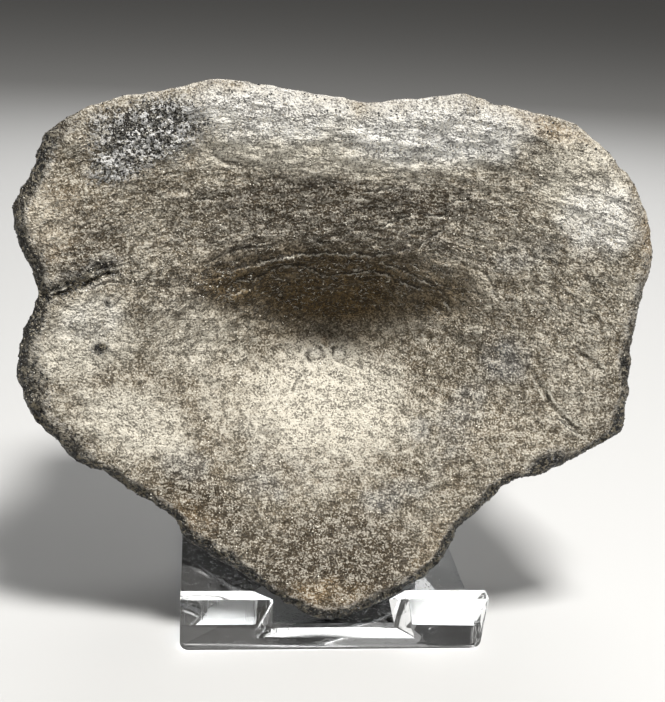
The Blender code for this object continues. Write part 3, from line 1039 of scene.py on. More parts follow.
@dataclass
class CentrumShape:
    """Form of the centrum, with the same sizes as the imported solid.

    The outline is (across, up) in millimetres from the keel's point, and the
    other sizes are in metres.
    """

    keel: tuple[Corner, ...] = ((0, 0), (-13.5, 5.2), (-24, 12.6), (-37, 20.8))
    left: tuple[Corner, ...] = (
        (-40.2, 25.5), (-52, 34), (-64.8, 41.7), (-73.2, 50.6), (-76.7, 60.5), (-76.4, 69),
        (-73.3, 77.5), (-73.8, 85), (-77.4, 94.5), (-77, 102.2), (-73.4, 109.5), (-69.5, 118.4),
    )
    top: tuple[Corner, ...] = (
        (-57.2, 125.5), (-39.5, 129.2), (-28.5, 131), (-12.5, 129), (2, 127), (16, 127.4),
        (27.8, 129.2), (35.5, 126.6), (50, 124.6), (60, 118.8),
    )
    right: tuple[Corner, ...] = (
        (70, 108.8), (74.2, 98), (75.2, 88.8), (72.8, 77), (71.8, 62), (70.8, 50), (66, 45),
        (50.5, 37.9), (42.5, 34.5), (31.5, 24), (26.2, 15), (19, 8.8),
    )
    lean: float = math.radians(8.0)
    keel_back: float = 0.0042
    keel_height: float = 0.0062
    length: float = 0.060
    front_axis: tuple[float, float] = (-0.0017, 0.0655)
    back_axis: tuple[float, float] = (0.0, 0.0635)
    back_scale: float = 0.87
    rim_width: float = 0.0050
    rim_crown: float = 0.0034
    front_depths: tuple[float, float] = (0.0150, 0.0125)
    back_depths: tuple[float, float] = (0.0130, 0.0095)
    bowl_powers: tuple[float, float] = (1.4, 1.3)
    pit_radii: tuple[float, float] = (0.030, 0.042)
    pit_squeeze: float = 0.65
    pit_ring: float = 0.055
    waists: tuple[float, float] = (0.0065, 0.0025)
    facets: tuple[Facet, ...] = (
        Facet((-0.034, 0.124, 0.034), 0.0022, 0.015),
        Facet((0.032, 0.122, 0.034), 0.0022, 0.015),
        Facet((-0.074, 0.097, 0.020), 0.0035, 0.013),
        Facet((0.071, 0.093, 0.020), 0.0035, 0.013),
        Facet((-0.072, 0.058, 0.018), 0.0032, 0.012),
        Facet((0.068, 0.055, 0.018), 0.0032, 0.012),
    )
    # Natural unevenness in millimetres: (length of a swell, height)
    swells: tuple[Corner, ...] = ((24.0, 0.60), (12.0, 0.48))
    swell_fade: float = 18.0
    # Ends of the front bowl, front rim, side and back rim along a meridian
    ends: tuple[float, float, float, float] = (0.50, 0.60, 0.76, 0.82)

    def outline(self, turns: Array) -> Array:
        """Return the front outline's points at shares of its length.

        Args:
            turns: Shares of the way round, from the keel by the left side.

        Returns:
            One (across, up) row in metres for each share.
        """
        points = np.array(self.keel + self.left + self.top + self.right) * MM
        around = tuple(np.roll(points, turn, 0) for turn in (1, 0, -1, -2))
        curve = np.concatenate(curve_pieces(around, 24) + [points[:1]])
        lengths = np.concatenate([[0.0], np.cumsum(np.hypot(*np.diff(curve, axis=0).T))])
        wanted = np.mod(turns, 1.0) * lengths[-1]
        return np.stack([np.interp(wanted, lengths, curve[:, k]) for k in (0, 1)], axis=1)

    def _bowl(self, t: Array, edge: Array, axis: Array, depths: tuple[float, float]) -> tuple[Array, Array]:
        """Lay out a hollow face.

        Args:
            t: Shares of the way from the pit's middle to the crown.
            edge: The outline's rows in metres.
            axis: The pit's middle.
            depths: Depths of the wide bowl and of the pit.

        Returns:
            The (across, up) rows, and their depths behind the crown.
        """
        arm = edge - axis
        reach = np.hypot(*arm.T)[:, None]
        crown = arm * (1.0 - self.rim_width / reach)
        ring = arm / reach * self.pit_ring
        offset = (ring + (crown - ring) * smoothstep(0.0, 1.0, t)[:, None]) * t[:, None]
        share = 0.5 + 0.5 * arm[:, 1] / reach[:, 0]
        radius = self.pit_radii[1] + (self.pit_radii[0] - self.pit_radii[1]) * share
        pit = np.hypot(offset[:, 0] * self.pit_squeeze, offset[:, 1])
        level = np.clip((pit + 0.004) / (radius + 0.004), 0.0, 1.0)
        steep = 1.0 - level * level * (3.0 - 2.0 * level)
        fall, lip = self.bowl_powers
        wide = (1.0 - np.clip(t, 0.0, 1.0) ** fall) ** lip
        return axis + offset, depths[0] * wide + depths[1] * steep

    def _rim(self, turn: Array, edge: Array, axis: Array) -> tuple[Array, Array]:
        """Lay out a rounded rim.

        Args:
            turn: Angles over the rim, 0 on its crown and a quarter turn at its edge.
            edge: The outline's rows in metres.
            axis: The pit's middle.

        Returns:
            The (across, up) rows, and their rises above the face plane.
        """
        arm = edge - axis
        inset = self.rim_width * (1.0 - np.sin(turn))
        return axis + arm * (1.0 - inset / np.hypot(*arm.T))[:, None], self.rim_crown * np.cos(turn)

    def _side(self, t: Array, front: Array, back: Array) -> tuple[Array, Array]:
        """Lay out the waisted side with its joint faces.

        Args:
            t: Shares of the way from the front rim to the back rim.
            front: The front outline's rows in metres.
            back: The back outline's rows.

        Returns:
            The (across, up) rows, and their distances back.
        """
        axes = np.array(self.front_axis), np.array(self.back_axis)
        axis = axes[0] + (axes[1] - axes[0]) * t[:, None]
        edge = front + (back - front) * t[:, None]
        arm = edge - axis
        reach = np.hypot(*arm.T)
        swell = np.sin(np.pi * t)
        top = smoothstep(0.3, 0.9, arm[:, 1] / reach)
        inset = (self.waists[0] + (self.waists[1] - self.waists[0]) * top) * swell**1.3
        places = np.column_stack([edge, self.length * t])
        for facet in self.facets:
            away = np.linalg.norm(places - np.array(facet.middle), axis=1) / facet.half_width
            inset -= facet.rise * np.exp(-(away**2)) * swell**0.5
        return axis + arm * (1.0 - inset / reach)[:, None], self.length * t

    def place(self, shares: Array, turns: Array) -> Array:
        """Return (across, up, back) rows on the centrum's plain surface.

        Args:
            shares: Ways along the meridians, from the front pit to the back.
            turns: Ways round the outline.

        Returns:
            One row for each place, in metres.
        """
        front = self.outline(turns)
        axes = np.array(self.front_axis), np.array(self.back_axis)
        back = axes[1] + (front - axes[0]) * self.back_scale
        bowl, rim, side, far = self.ends
        quarter = math.pi / 2.0
        parts = []
        flat, depth = self._bowl(np.clip(shares / bowl, 0, 1), front, axes[0], self.front_depths)
        parts.append((shares < bowl, flat, depth - self.rim_crown))
        flat, rise = self._rim(quarter * np.clip((shares - bowl) / (rim - bowl), 0, 1), front, axes[0])
        parts.append(((shares >= bowl) & (shares < rim), flat, -rise))
        flat, distance = self._side(np.clip((shares - rim) / (side - rim), 0, 1), front, back)
        parts.append(((shares >= rim) & (shares < side), flat, distance))
        flat, rise = self._rim(quarter * (1.0 - np.clip((shares - side) / (far - side), 0, 1)), back, axes[1])
        parts.append(((shares >= side) & (shares < far), flat, self.length + rise))
        flat, depth = self._bowl(np.clip((1.0 - shares) / (1.0 - far), 0, 1), back, axes[1], self.back_depths)
        parts.append((shares >= far, flat, self.length + self.rim_crown - depth))
        result = np.zeros((len(shares), 3))
        for chosen, flat, distance in parts:
            result[chosen] = np.column_stack([flat, distance])[chosen]
        return result

    def lumps(self, spots: Array) -> Array:
        """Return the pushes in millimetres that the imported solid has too."""
        push = sum(rise * noise_at(spots, size=size, seed=3.0) for size, rise in self.swells)
        return push * smoothstep(0.0, self.swell_fade, spots[:, 1])

    def to_world(self, places: Array) -> Array:
        """Return (across, up, back) rows as world coordinates.

        Args:
            places: Rows in metres.

        Returns:
            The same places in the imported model's frame.
        """
        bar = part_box("stand_front_bar")[0][1]
        across, up, back = places.T
        y = bar + self.keel_back + back + up * math.sin(self.lean)
        return np.column_stack([across, y, self.keel_height + up * math.cos(self.lean)])


@dataclass
class FossilSkin:
    """The fossil's fine surface, with its relief and the masks of its colours.

    Attributes:
        shape: The plain form that the relief is laid on.
        finish: The bone's material.
        cuts: Squares along one side of each of the six grids it starts from.
        ring_squeeze: Height of the growth rings against their width.
        hump: Height of the broad unevenness, in millimetres as the rest are.
        bump: Height of the finer unevenness.
        ridge: Height of the growth ridges.
        small_ridge: Height of the finer ridges between them.
        step: Height of a step at its lip.
        cleft: Depth of a crack.
        trench: Depth of the groove.
        crust: Height of the black crust's grains.
        crust_sink: How deep the black crust lies.
        side_hump: Height of the side's unevenness.
    """

    shape: CentrumShape
    finish: BoneFinish
    cuts: int = 128
    ring_squeeze: float = 0.62
    hump: float = 0.46
    bump: float = 0.34
    ridge: float = 0.40
    small_ridge: float = 0.24
    step: float = 0.45
    cleft: float = 0.5
    trench: float = 1.2
    crust: float = 0.9
    crust_sink: float = 0.3
    side_hump: float = 0.35

    def _directions(self) -> tuple[bpy.types.Mesh, Array]:
        """Make a six-sided grid that is folded round a ball.

        Returns:
            A mesh, and one unit row for each of its points.
        """
        bm = bmesh.new()
        bmesh.ops.create_cube(bm, size=2.0)
        bmesh.ops.subdivide_edges(bm, edges=bm.edges, cuts=self.cuts - 1, use_grid_fill=True)
        mesh = new_mesh("fossil_skin", bm)
        grid = np.empty(len(mesh.vertices) * 3)
        mesh.vertices.foreach_get("co", grid)
        grid = np.tan(grid.reshape(-1, 3) * math.pi / 4.0)
        return mesh, grid / np.linalg.norm(grid, axis=1)[:, None]

    def _spread(self, latitudes: Array) -> Array:
        """Return meridian shares, with more points on the front than the back."""
        return np.interp(latitudes, np.radians([0, 45, 90, 135, 180]), [0.0, 0.27, 0.60, 0.83, 1.0])

    def _relief(self, shares: Array, places: Array) -> tuple[Array, dict[str, Array]]:
        """Return how far each point is pushed out, and the colour masks.

        Args:
            shares: Ways along the meridians.
            places: Plain (across, up, back) rows in metres.

        Returns:
            Heights in metres and masks by name.
        """
        shape = self.shape
        spots = places / MM
        across = spots[:, 0] + 0.5 * noise_at(spots, size=4.0, seed=11.0)
        up = spots[:, 1] + 0.5 * noise_at(spots, size=4.0, seed=23.0)
        front = 1.0 - smoothstep(shape.ends[1], shape.ends[1] + 0.03, shares)
        face = 1.0 - smoothstep(shape.ends[0] - 0.02, shape.ends[1], shares)
        masks = {name: np.zeros(len(shares)) for name in SKIN_MASKS}
        for patch in FRONT_PATCHES:
            lift(masks, patch.stain.value, patch.weight(across, up) * front)
        self._measure_scarps(across, up, front, masks)
        # Dark crust along the front rim's edge, with painted shade where it turns down and away from the
        # light
        masks["edge"] = self._dark_edge_and_shade(shares, spots)
        lift(masks, "black", masks["edge"])
        rings = self._ring_places(shares, spots)
        masks["leaves"] = face * (0.35 + 0.65 * smoothstep(58.0, 82.0, spots[:, 1]))
        masks["leaves"] += 0.8 * LEAFY_BROW.weight(across, up) * face
        flakes = ridges_at(rings * np.array([0.24, 0.24, 0.38]), size=1.0, seed=9.0)
        small = ridges_at(rings * np.array([0.5, 0.5, 0.62]), size=1.0, seed=13.0)
        height = shape.lumps(spots) + self.hump * noise_at(spots, size=7.5, seed=5.0)
        height += self.bump * noise_at(spots, size=2.8, seed=7.0)
        height += (self.ridge * flakes**3 + self.small_ridge * small**3) * (0.45 + 0.55 * face)
        gap, force = masks["scarp_gap"], masks["scarp_force"]
        height += force * self.step * (1.0 - smoothstep(-0.6, 0.6, gap)) * smoothstep(-7.0, -0.6, gap)
        height -= masks["crack_force"] * self.cleft * np.exp(-((masks["crack_gap"] / 0.7) ** 2))
        height -= self._groove(across, up, front, masks)
        lift(masks, "edge", masks["black"] * (1.0 - smoothstep(97.0, 105.0, spots[:, 1])))
        rough = self.crust * (1.0 - 0.5 * masks["edge"])
        height += masks["black"] * (rough * (ridges_at(spots, size=3.2, seed=17.0) - 0.6) - self.crust_sink)
        outer = smoothstep(shape.ends[0], shape.ends[1], shares)
        height += self.side_hump * outer * noise_at(spots, size=3.4, seed=29.0)
        self._dress_side(shares, spots, masks)
        cloud = smoothstep(-0.25, 0.45, noise_at(spots, size=11.0, seed=47.0))
        masks["crumbs"] = (0.25 + 0.75 * cloud) * (1.0 - 0.7 * masks["pit"]) * (0.35 + 0.65 * face)
        return height * MM, masks

    @staticmethod
    def _measure_scarps(across: Array, up: Array, front: Array, masks: dict[str, Array]) -> None:
        """Write each point's nearest scarp and crack into the masks.

        Args:
            across: Distances to the right, in millimetres.
            up: Heights.
            front: Share of the front face at each point.
            masks: The masks, whose gaps start far from any line.
        """
        reach = 4.0
        masks["scarp_gap"][:] = reach
        masks["crack_gap"][:] = reach
        for scarp in SCARPS:
            kind = "crack" if scarp.crack else "scarp"
            low, high = np.min(scarp.points, axis=0) - reach, np.max(scarp.points, axis=0) + reach
            near = (across > low[0]) & (across < high[0]) & (up > low[1]) & (up < high[1]) & (front > 0.0)
            near = np.flatnonzero(near)
            gap, force = scarp.measure(across[near], up[near])
            force = force * front[near]
            weight = force * (1.0 - smoothstep(1.5, reach, np.abs(gap)))
            held = np.abs(masks[kind + "_gap"][near])
            best = masks[kind + "_force"][near] * (1.0 - smoothstep(1.5, reach, held))
            won = weight > best
            masks[kind + "_gap"][near[won]] = (np.abs(gap) if scarp.crack else gap)[won]
            masks[kind + "_force"][near[won]] = force[won]

    def _dark_edge_and_shade(self, shares: Array, spots: Array) -> Array:
        """Return how dark and granular the worn edge of the front rim is: dark crust, and painted shade where
        the edge turns down and away from the light, darker towards the bottom and on the left.

        Args:
            shares: Ways along the meridians.
            spots: Their (across, up, back) rows in millimetres.

        Returns:
            One weight for each point.
        """
        start, end = self.shape.ends[:2]
        cloud = noise_at(spots, size=7.0, seed=43.0)
        edge = smoothstep(start + 0.004, start + 0.036, shares + 0.016 * cloud)
        edge *= 1.0 - smoothstep(end + 0.02, end + 0.07, shares)
        low = 1.0 - smoothstep(50.0, 108.0, spots[:, 1])
        left = smoothstep(-60.0, -70.0, spots[:, 0])
        return edge * smoothstep(-1.1, -0.4, cloud) * (0.15 + 0.85 * np.maximum(low, 0.85 * left))

    def _groove(self, across: Array, up: Array, front: Array, masks: dict[str, Array]) -> Array:
        """Cut the groove from the left notch and blacken its upper wall.

        Args:
            across: Distances to the right, in millimetres.
            up: Heights.
            front: Share of the front face at each point.
            masks: The masks to blacken.

        Returns:
            Depths in millimetres.
        """
        groove = next(scarp for scarp in SCARPS if scarp.name == "groove")
        gap, force = groove.measure(across, up)
        near = np.exp(-((gap / np.where(gap > 0.0, 2.2, 0.9)) ** 2)) * front
        inward = 1.0 - smoothstep(-60.0, -48.0, across)
        dark = np.exp(-((gap / np.where(gap > 0.0, 3.4, 1.0)) ** 4)) * front
        lift(masks, "black", dark * np.maximum(force, inward * (across < -56.0)))
        return self.trench * near * np.maximum(force, inward * (across < -66.0))

    def _dress_side(self, shares: Array, spots: Array, masks: dict[str, Array]) -> None:
        """Add pale and slate patches to the side, black towards its bottom, and darken the back pit towards
        its middle.

        Args:
            shares: Ways along the meridians.
            spots: Their (across, up, back) rows in millimetres.
            masks: The masks to add to.
        """
        shape = self.shape
        side = smoothstep(shape.ends[0] + 0.05, shape.ends[1], shares)
        cloud = noise_at(spots, size=15.0, seed=31.0)
        lift(masks, "pale", side * 0.55 * smoothstep(0.0, 0.5, cloud))
        lift(masks, "slate", side * 0.5 * smoothstep(0.05, 0.5, noise_at(spots, size=12.0, seed=37.0)))
        low = 1.0 - smoothstep(35.0, 60.0, spots[:, 1])
        under = side * low * smoothstep(-0.15, 0.35, noise_at(spots, size=9.0, seed=41.0))
        lift(masks, "black", 0.9 * under)
        away = np.hypot(spots[:, 0] - shape.back_axis[0] / MM, spots[:, 1] - shape.back_axis[1] / MM)
        deep = smoothstep(shape.ends[3], 1.0, shares) * (1.0 - smoothstep(8.0, 34.0, away))
        lift(masks, "pit", 0.8 * deep)

    def _ring_places(self, shares: Array, spots: Array) -> Array:
        """Return places in which a pattern runs in rings round the pits.

        Args:
            shares: Ways along the meridians.
            spots: Their (across, up, back) rows in millimetres.

        Returns:
            One row for each point.
        """
        arm = (spots[:, :2] - np.array(self.shape.front_axis) / MM) * np.array([self.ring_squeeze, 1.0])
        angle = np.arctan2(arm[:, 1], arm[:, 0])
        radius = np.hypot(*arm.T)
        hoop = 6.0 + 0.62 * radius
        depth = np.where(shares < self.shape.ends[1], radius, 90.0 + spots[:, 2])
        return np.column_stack([hoop * np.cos(angle), hoop * np.sin(angle), depth])

    def build(self, grain: bpy.types.NodeTree) -> bpy.types.Object:
        """Make the skin.

        Args:
            grain: The mineral grain group.

        Returns:
            The finished object.
        """
        mesh, ways = self._directions()
        shares = self._spread(np.arccos(np.clip(ways[:, 2], -1.0, 1.0)))
        turns = np.arctan2(ways[:, 1], ways[:, 0]) / (2.0 * math.pi)
        places = self.shape.place(shares, turns)
        height, masks = self._relief(shares, places)
        mesh.vertices.foreach_set("co", self.shape.to_world(places).ravel())
        bm = bmesh.new()
        bm.from_mesh(mesh)
        bmesh.ops.reverse_faces(bm, faces=bm.faces)
        bm.normal_update()
        for vert, rise in zip(bm.verts, height.tolist()):
            vert.co += vert.normal * rise
        bm.to_mesh(mesh)
        bm.free()
        for key, values in masks.items():
            layer = mesh.attributes.new(key, "FLOAT", "POINT")
            layer.data.foreach_set("value", values.astype(np.float32))
        layer = mesh.attributes.new("ring_place", "FLOAT_VECTOR", "POINT")
        rings = self._ring_places(shares, places / MM)
        layer.data.foreach_set("vector", rings.astype(np.float32).ravel())
        mesh.shade_smooth()
        skin = new_object("fossil_skin", mesh)
        mesh.materials.append(self.finish.material("fossil_bone", grain))
        hand_in(skin, ("vertebra",))
        return skin


@dataclass
class Crumbs:
    """Mineral grains half sunk in the fossil's skin, scattered by a node tree.

    Attributes:
        name: The finished object's name.
        mask: The skin's attribute that says where they lie.
        finish: Their material.
        number: Grains in a square metre where the mask is full.
        sizes: Smallest and largest radius, in metres.
        seed: Seed of the scatter.
    """

    name: str
    mask: str
    finish: CrumbFinish
    number: float
    sizes: tuple[float, float]
    seed: int

    @staticmethod
    def tree() -> bpy.types.NodeTree:
        """Build the node tree that scatters the grains.

        Returns:
            The tree, whose inputs are set on each modifier that uses it.
        """
        tree = bpy.data.node_groups.new("crumb_scatter", "GeometryNodeTree")
        for name, kind in (
            ("Geometry", "NodeSocketGeometry"),
            ("Mask", "NodeSocketString"),
            ("Number", FLOAT),
            ("Smallest", FLOAT),
            ("Largest", FLOAT),
            ("Seed", "NodeSocketInt"),
            ("Material", "NodeSocketMaterial"),
        ):
            tree.interface.new_socket(name, in_out="INPUT", socket_type=kind)
        tree.interface.new_socket("Geometry", in_out="OUTPUT", socket_type="NodeSocketGeometry")
        nodes = Nodes(tree)
        source = nodes.add("NodeGroupInput").outputs
        where = nodes.add("GeometryNodeInputNamedAttribute", data_type="FLOAT")
        nodes.join(source["Mask"], where.inputs["Name"])
        scatter = nodes.add("GeometryNodeDistributePointsOnFaces", distribute_method="RANDOM")
        nodes.join(source["Geometry"], scatter.inputs["Mesh"])
        density = nodes.times(where.outputs["Attribute"], source["Number"])
        nodes.join(density, scatter.inputs["Density"])
        nodes.join(source["Seed"], scatter.inputs["Seed"])
        grain = nodes.add("GeometryNodeMeshIcoSphere")
        grain.inputs["Radius"].default_value = 1.0
        grain.inputs["Subdivisions"].default_value = 1
        radius = nodes.add("FunctionNodeRandomValue", data_type="FLOAT_VECTOR")
        for key, value in (("Smallest", "Min"), ("Largest", "Max")):
            spread = nodes.add("ShaderNodeCombineXYZ")
            for axis, share in (("X", 1.0), ("Y", 1.0), ("Z", 0.62)):
                nodes.join(nodes.times(source[key], share), spread.inputs[axis])
            nodes.join(spread.outputs[0], radius.inputs[value])
        nodes.join(source["Seed"], radius.inputs["Seed"])
        place = nodes.add("GeometryNodeInstanceOnPoints")
        nodes.join(scatter.outputs["Points"], place.inputs["Points"])
        nodes.join(grain.outputs["Mesh"], place.inputs["Instance"])
        nodes.join(scatter.outputs["Rotation"], place.inputs["Rotation"])
        nodes.join(radius.outputs["Value"], place.inputs["Scale"])
        whole = nodes.add("GeometryNodeRealizeInstances")
        nodes.join(place.outputs["Instances"], whole.inputs["Geometry"])
        dressed = nodes.add("GeometryNodeSetMaterial")
        nodes.join(whole.outputs["Geometry"], dressed.inputs["Geometry"])
        nodes.join(source["Material"], dressed.inputs["Material"])
        target = nodes.add("NodeGroupOutput")
        nodes.join(dressed.outputs["Geometry"], target.inputs["Geometry"])
        return tree

    def build(
        self, skin: bpy.types.Object, tree: bpy.types.NodeTree, grain: bpy.types.NodeTree
    ) -> bpy.types.Object:
        """Scatter the grains over the skin.

        Args:
            skin: The finished skin, with its masks.
            tree: The scattering node tree.
            grain: The mineral grain group.

        Returns:
            The finished object.
        """
        crumbs = new_object(self.name, skin.data.copy())
        values = {
            "Mask": self.mask,
            "Number": self.number,
            "Smallest": self.sizes[0],
            "Largest": self.sizes[1],
            "Seed": self.seed,
            "Material": self.finish.material(self.name, grain),
        }
        modifier = crumbs.modifiers.new("scatter", "NODES")
        modifier.node_group = tree
        for item in tree.interface.items_tree:
            if item.in_out == "INPUT" and item.name in values:
                modifier[item.identifier] = values[item.name]
        apply_modifiers(crumbs).name = self.name
        hand_in(crumbs)
        return crumbs


@dataclass
class AcrylicStand:
    """The clear stand: a plate with a notched bar in front and a rest behind.

    Attributes:
        finish: The sheet's material.
        sheet: Thickness of the sheet.
        notch_left: Left end of the notch at the front face.
        notch_right_top: Right end of the notch at the top.
        notch_right_floor: Right end of the notch at its floor.
        notch_floor: Height of the notch's floor at the front.
        foot_radius: Rounding of the bar's lower corners.
        flare: How far the bar's right end leans out.
        edge: Rounding of the polished edges.
        glue: How far the plate reaches into the bar, so that they are one.
        lean: How far the rest leans back, in radians.
        rest_radius: Rounding of the rest's upper corners.
        brace_toe: Height of the brace's hind end.
    """

    finish: AcrylicFinish
    sheet: float = 0.0048
    notch_left: float = -0.0155
    notch_right_top: float = 0.0130
    notch_right_floor: float = 0.0148
    notch_floor: float = 0.0060
    foot_radius: float = 0.0022
    flare: float = 0.0012
    edge: float = 0.00022
    glue: float = 0.0003
    lean: float = math.radians(8.0)
    rest_radius: float = 0.009
    brace_toe: float = 0.002

    def _prism(
        self, name: str, outline: list[Corner], low: float, high: float, along: str
    ) -> bpy.types.Object:
        """Return an upright or lengthwise prism.

        Args:
            name: The object's name.
            outline: Points in the plane across the direction.
            low: Where it starts.
            high: Where it ends.
            along: "y" for an outline in X and Z, "x" for one in Y and Z.

        Returns:
            The new object, with its faces pointing out.
        """
        bm = bmesh.new()
        rings = []
        for depth in (low, high):
            if along == "y":
                rings.append([bm.verts.new((a, depth, b)) for a, b in outline])
            else:
                rings.append([bm.verts.new((depth, a, b)) for a, b in outline])
        count = len(outline)
        bm.faces.new(rings[0])
        bm.faces.new(rings[1][::-1])
        for i in range(count):
            j = (i + 1) % count
            bm.faces.new((rings[0][i], rings[1][i], rings[1][j], rings[0][j]))
        bmesh.ops.recalc_face_normals(bm, faces=bm.faces)
        return new_object(name, new_mesh(name, bm))

    def _settle(self, thing: bpy.types.Object, helpers: list[bpy.types.Object]) -> None:
        """Round the edges, apply the modifiers and drop the helper objects.

        Args:
            thing: The piece.
            helpers: Objects that its modifiers used.
        """
        bevel = thing.modifiers.new("polished_edge", "BEVEL")
        bevel.width = self.edge
        bevel.segments = 3
        bevel.limit_method = "ANGLE"
        bevel.angle_limit = math.radians(25.0)
        bevel.harden_normals = True
        mesh = apply_modifiers(thing)
        mesh.shade_smooth()
        mesh.set_sharp_from_angle(angle=math.radians(35.0))
        for helper in helpers:
            bpy.data.objects.remove(helper, do_unlink=True)

    def _join(self, thing: bpy.types.Object, other: bpy.types.Object, operation: str) -> None:
        """Add a Boolean modifier.

        Args:
            thing: The piece.
            other: What is added or cut away.
            operation: "UNION" or "DIFFERENCE".
        """
        boolean = thing.modifiers.new(operation.lower(), "BOOLEAN")
        boolean.operation = operation
        boolean.object = other

    def _notch(self, front: float, top: float) -> bpy.types.Object:
        """Return the wedge of the notch, which widens towards the back.

        Args:
            front: Where the bar's front face is.
            top: Height of the bar.

        Returns:
            The helper object.
        """
        over = 0.001
        bm = bmesh.new()
        bmesh.ops.create_cube(bm, size=2.0)
        slant = (self.notch_right_top - self.notch_right_floor) / (top - self.notch_floor)
        for vert in bm.verts:
            depth = -over if vert.co.y < 0.0 else self.sheet + over
            z = top + over if vert.co.z > 0.0 else self.notch_floor - depth
            if vert.co.x < 0.0:
                x = self.notch_left - depth
            else:
                x = self.notch_right_floor + slant * (z - self.notch_floor) + depth
            vert.co = (x, front + depth, z)
        return new_object("notch", new_mesh("notch", bm))

    def _bar_outline(self, low: Vector, high: Vector) -> list[Corner]:
        """Return the bar's outline in X and Z, with rounded lower corners.

        Args:
            low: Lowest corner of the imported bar's box.
            high: Its highest corner.

        Returns:
            Its corners, anticlockwise as the front face is looked at.
        """
        radius = self.foot_radius
        points = []
        for middle, start in ((low[0] + radius, math.pi), (high[0] - self.flare - radius, 1.5 * math.pi)):
            points += arc((middle, low[2] + radius), radius, start, 8)
        return points + [(high[0], high[2]), (low[0], high[2])]

    def build(self, scuffs: bpy.types.NodeTree) -> list[bpy.types.Object]:
        """Make the stand's three pieces.

        Args:
            scuffs: The scuff group.

        Returns:
            The finished objects.
        """
        bar_low, bar_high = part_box("stand_front_bar")
        base_low, base_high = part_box("stand_base")
        body = self._prism("stand_body", self._bar_outline(bar_low, bar_high), bar_low[1], bar_high[1], "y")
        notch = self._notch(bar_low[1], bar_high[2])
        plate_outline = [
            (base_low[0], 0.0),
            (base_high[0], 0.0),
            (base_high[0], base_high[2]),
            (base_low[0], base_high[2]),
        ]
        plate = self._prism("plate", plate_outline, bar_high[1] - self.glue, base_high[1], "y")
        self._join(body, notch, "DIFFERENCE")
        self._join(body, plate, "UNION")
        self._settle(body, [notch, plate])
        body.data.materials.append(self.finish.material("acrylic_body", scuffs))
        hand_in(body, ("stand_front_bar", "stand_base"))
        return [body, self._rest(scuffs), self._brace(scuffs)]

    def _rest(self, scuffs: bpy.types.NodeTree) -> bpy.types.Object:
        """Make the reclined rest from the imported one's box.

        Args:
            scuffs: The scuff group.

        Returns:
            The finished object.
        """
        low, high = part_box("stand_back_rest")
        foot, top = low[2], high[2] - self.sheet * math.sin(self.lean)
        radius = self.rest_radius
        outline = [(low[0], foot), (high[0], foot)]
        for middle, start in ((high[0] - radius, 0.0), (low[0] + radius, 0.5 * math.pi)):
            outline += arc((middle, top - radius), radius, start, 10)
        thickness = self.sheet / math.cos(self.lean)
        rest = self._prism("stand_back_rest_sheet", outline, low[1], low[1] + thickness, "y")
        for vert in rest.data.vertices:
            vert.co.y += (vert.co.z - foot) * math.tan(self.lean)
        self._settle(rest, [])
        rest.data.materials.append(self.finish.material("acrylic_rest", scuffs))
        hand_in(rest, ("stand_back_rest",))
        return rest

    def _brace(self, scuffs: bpy.types.NodeTree) -> bpy.types.Object:
        """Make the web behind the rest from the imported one's box.

        Args:
            scuffs: The scuff group.

        Returns:
            The finished object.
        """
        low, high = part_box("stand_brace")
        lean = math.tan(self.lean) * (high[2] - low[2])
        toe = self.brace_toe
        outline = [
            (low[1], low[2]),
            (high[1], low[2]),
            (high[1], low[2] + toe),
            (low[1] + lean + toe, high[2]),
            (low[1] + lean, high[2]),
        ]
        brace = self._prism("stand_brace_web", outline, low[0], high[0], "x")
        self._settle(brace, [])
        brace.data.materials.append(self.finish.material("acrylic_brace", scuffs))
        hand_in(brace, ("stand_brace",))
        return brace


@dataclass(frozen=True)
class Lamp:
    """A square soft light: its name, place, size in metres, watts and colour."""

    name: str
    place: tuple[float, float, float]
    size: float
    watts: float
    colour: Colour


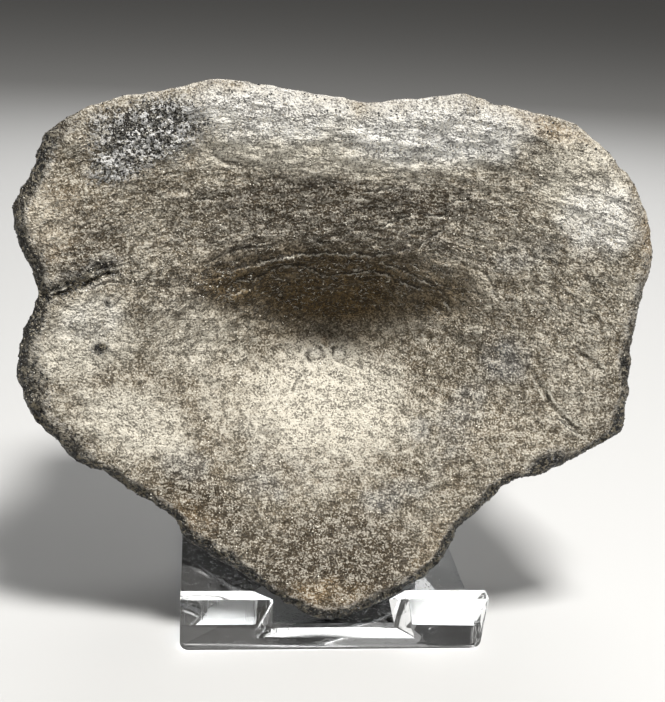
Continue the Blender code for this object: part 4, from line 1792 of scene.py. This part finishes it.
@dataclass
class Studio:
    """The pale floor, the soft lights and the camera at the photo's angle.

    The camera's place, pitch, yaw and roll are in metres and degrees. Its
    focal length is in pixels of an image 702 pixels high. The floor lies a
    hair below the clear plate, so that it shows through.
    """

    camera_place: tuple[float, float, float] = (-0.0358, -0.3543, 0.1709)
    pitch: float = 16.83
    yaw: float = 5.96
    roll: float = 2.49
    focal: float = 1400.0
    image_height: float = 702.0
    sensor: float = 36.0
    floor_size: float = 12.0
    floor_gap: float = 0.0002
    floor_colour: Colour = (0.50, 0.50, 0.495)
    floor_roughness: float = 0.8
    sky: Colour = (1.0, 0.975, 0.93)
    sky_strength: float = 0.10
    aim: Colour = (0.0, 0.0, 0.075)
    lamps: tuple[Lamp, ...] = (
        Lamp("key", (0.16, -0.40, 0.98), 0.22, 19.0, (1.0, 0.985, 0.96)),
        Lamp("fill", (-0.7, -0.75, 0.45), 0.6, 0.8, (0.95, 0.97, 1.0)),
        Lamp("rim", (0.1, 0.7, 0.6), 0.5, 4.0, (1.0, 1.0, 1.0)),
    )

    def _camera(self) -> None:
        """Set up the camera."""
        data = bpy.data.cameras.new("camera")
        data.sensor_fit = "AUTO"
        data.sensor_width = self.sensor
        data.lens = self.focal / self.image_height * self.sensor
        data.clip_start = 0.01
        camera = new_object("camera", data)
        pitch, yaw, roll = (math.radians(a) for a in (self.pitch, self.yaw, self.roll))
        ahead = Vector((math.sin(yaw) * math.cos(pitch), math.cos(yaw) * math.cos(pitch), -math.sin(pitch)))
        level = Vector((math.cos(yaw), -math.sin(yaw), 0.0))
        upward = level.cross(ahead)
        right = math.cos(roll) * level + math.sin(roll) * upward
        top = math.cos(roll) * upward - math.sin(roll) * level
        turn = Matrix((right, top, -ahead)).transposed()
        camera.matrix_world = Matrix.Translation(self.camera_place) @ turn.to_4x4()
        bpy.context.scene.camera = camera

    def _light(self, lamp: Lamp) -> None:
        """Add a lamp that faces the fossil.

        Args:
            lamp: Its place, size, watts and colour.
        """
        data = bpy.data.lights.new(lamp.name, "AREA")
        data.size = lamp.size
        data.energy = lamp.watts
        data.color = lamp.colour
        light = new_object(lamp.name, data)
        light.location = lamp.place
        way = Vector(self.aim) - Vector(lamp.place)
        light.rotation_euler = way.to_track_quat("-Z", "Y").to_euler()

    def build(self) -> None:
        """Make the floor, the world, the lights and the camera."""
        half = self.floor_size / 2.0
        bm = bmesh.new()
        bmesh.ops.create_grid(bm, x_segments=1, y_segments=1, size=half)
        bmesh.ops.translate(bm, vec=(0.0, 0.0, -self.floor_gap), verts=bm.verts)
        floor = new_object("floor", new_mesh("floor", bm))
        material, _, shader = new_material("pale_floor")
        shader.inputs["Base Color"].default_value = (*self.floor_colour, 1.0)
        shader.inputs["Roughness"].default_value = self.floor_roughness
        floor.data.materials.append(material)
        world = bpy.data.worlds.new("studio")
        bpy.context.scene.world = world
        world.use_nodes = True
        backdrop = world.node_tree.nodes["Background"]
        backdrop.inputs["Color"].default_value = (*self.sky, 1.0)
        backdrop.inputs["Strength"].default_value = self.sky_strength
        for lamp in self.lamps:
            self._light(lamp)
        bpy.context.scene.view_settings.view_transform = "Standard"
        self._camera()


def main() -> None:
    """Build the studio, the fossil and the stand."""
    logging.basicConfig(level=logging.INFO, format="%(name)s: %(message)s")
    Studio().build()
    grain = build_grain_group()
    scuffs = build_scuff_group()
    skin = FossilSkin(CentrumShape(), BoneFinish()).build(grain)
    scatter = Crumbs.tree()
    for crumbs in (
        Crumbs("matrix_grains", "black", MATRIX, 0.9e6, (0.00014, 0.00038), 5),
        Crumbs("bone_grains", "crumbs", CALCITE, 4.0e5, (0.00010, 0.00026), 8),
    ):
        crumbs.build(skin, scatter, grain)
    AcrylicStand(AcrylicFinish()).build(scuffs)


if __name__ == "__main__":
    main()
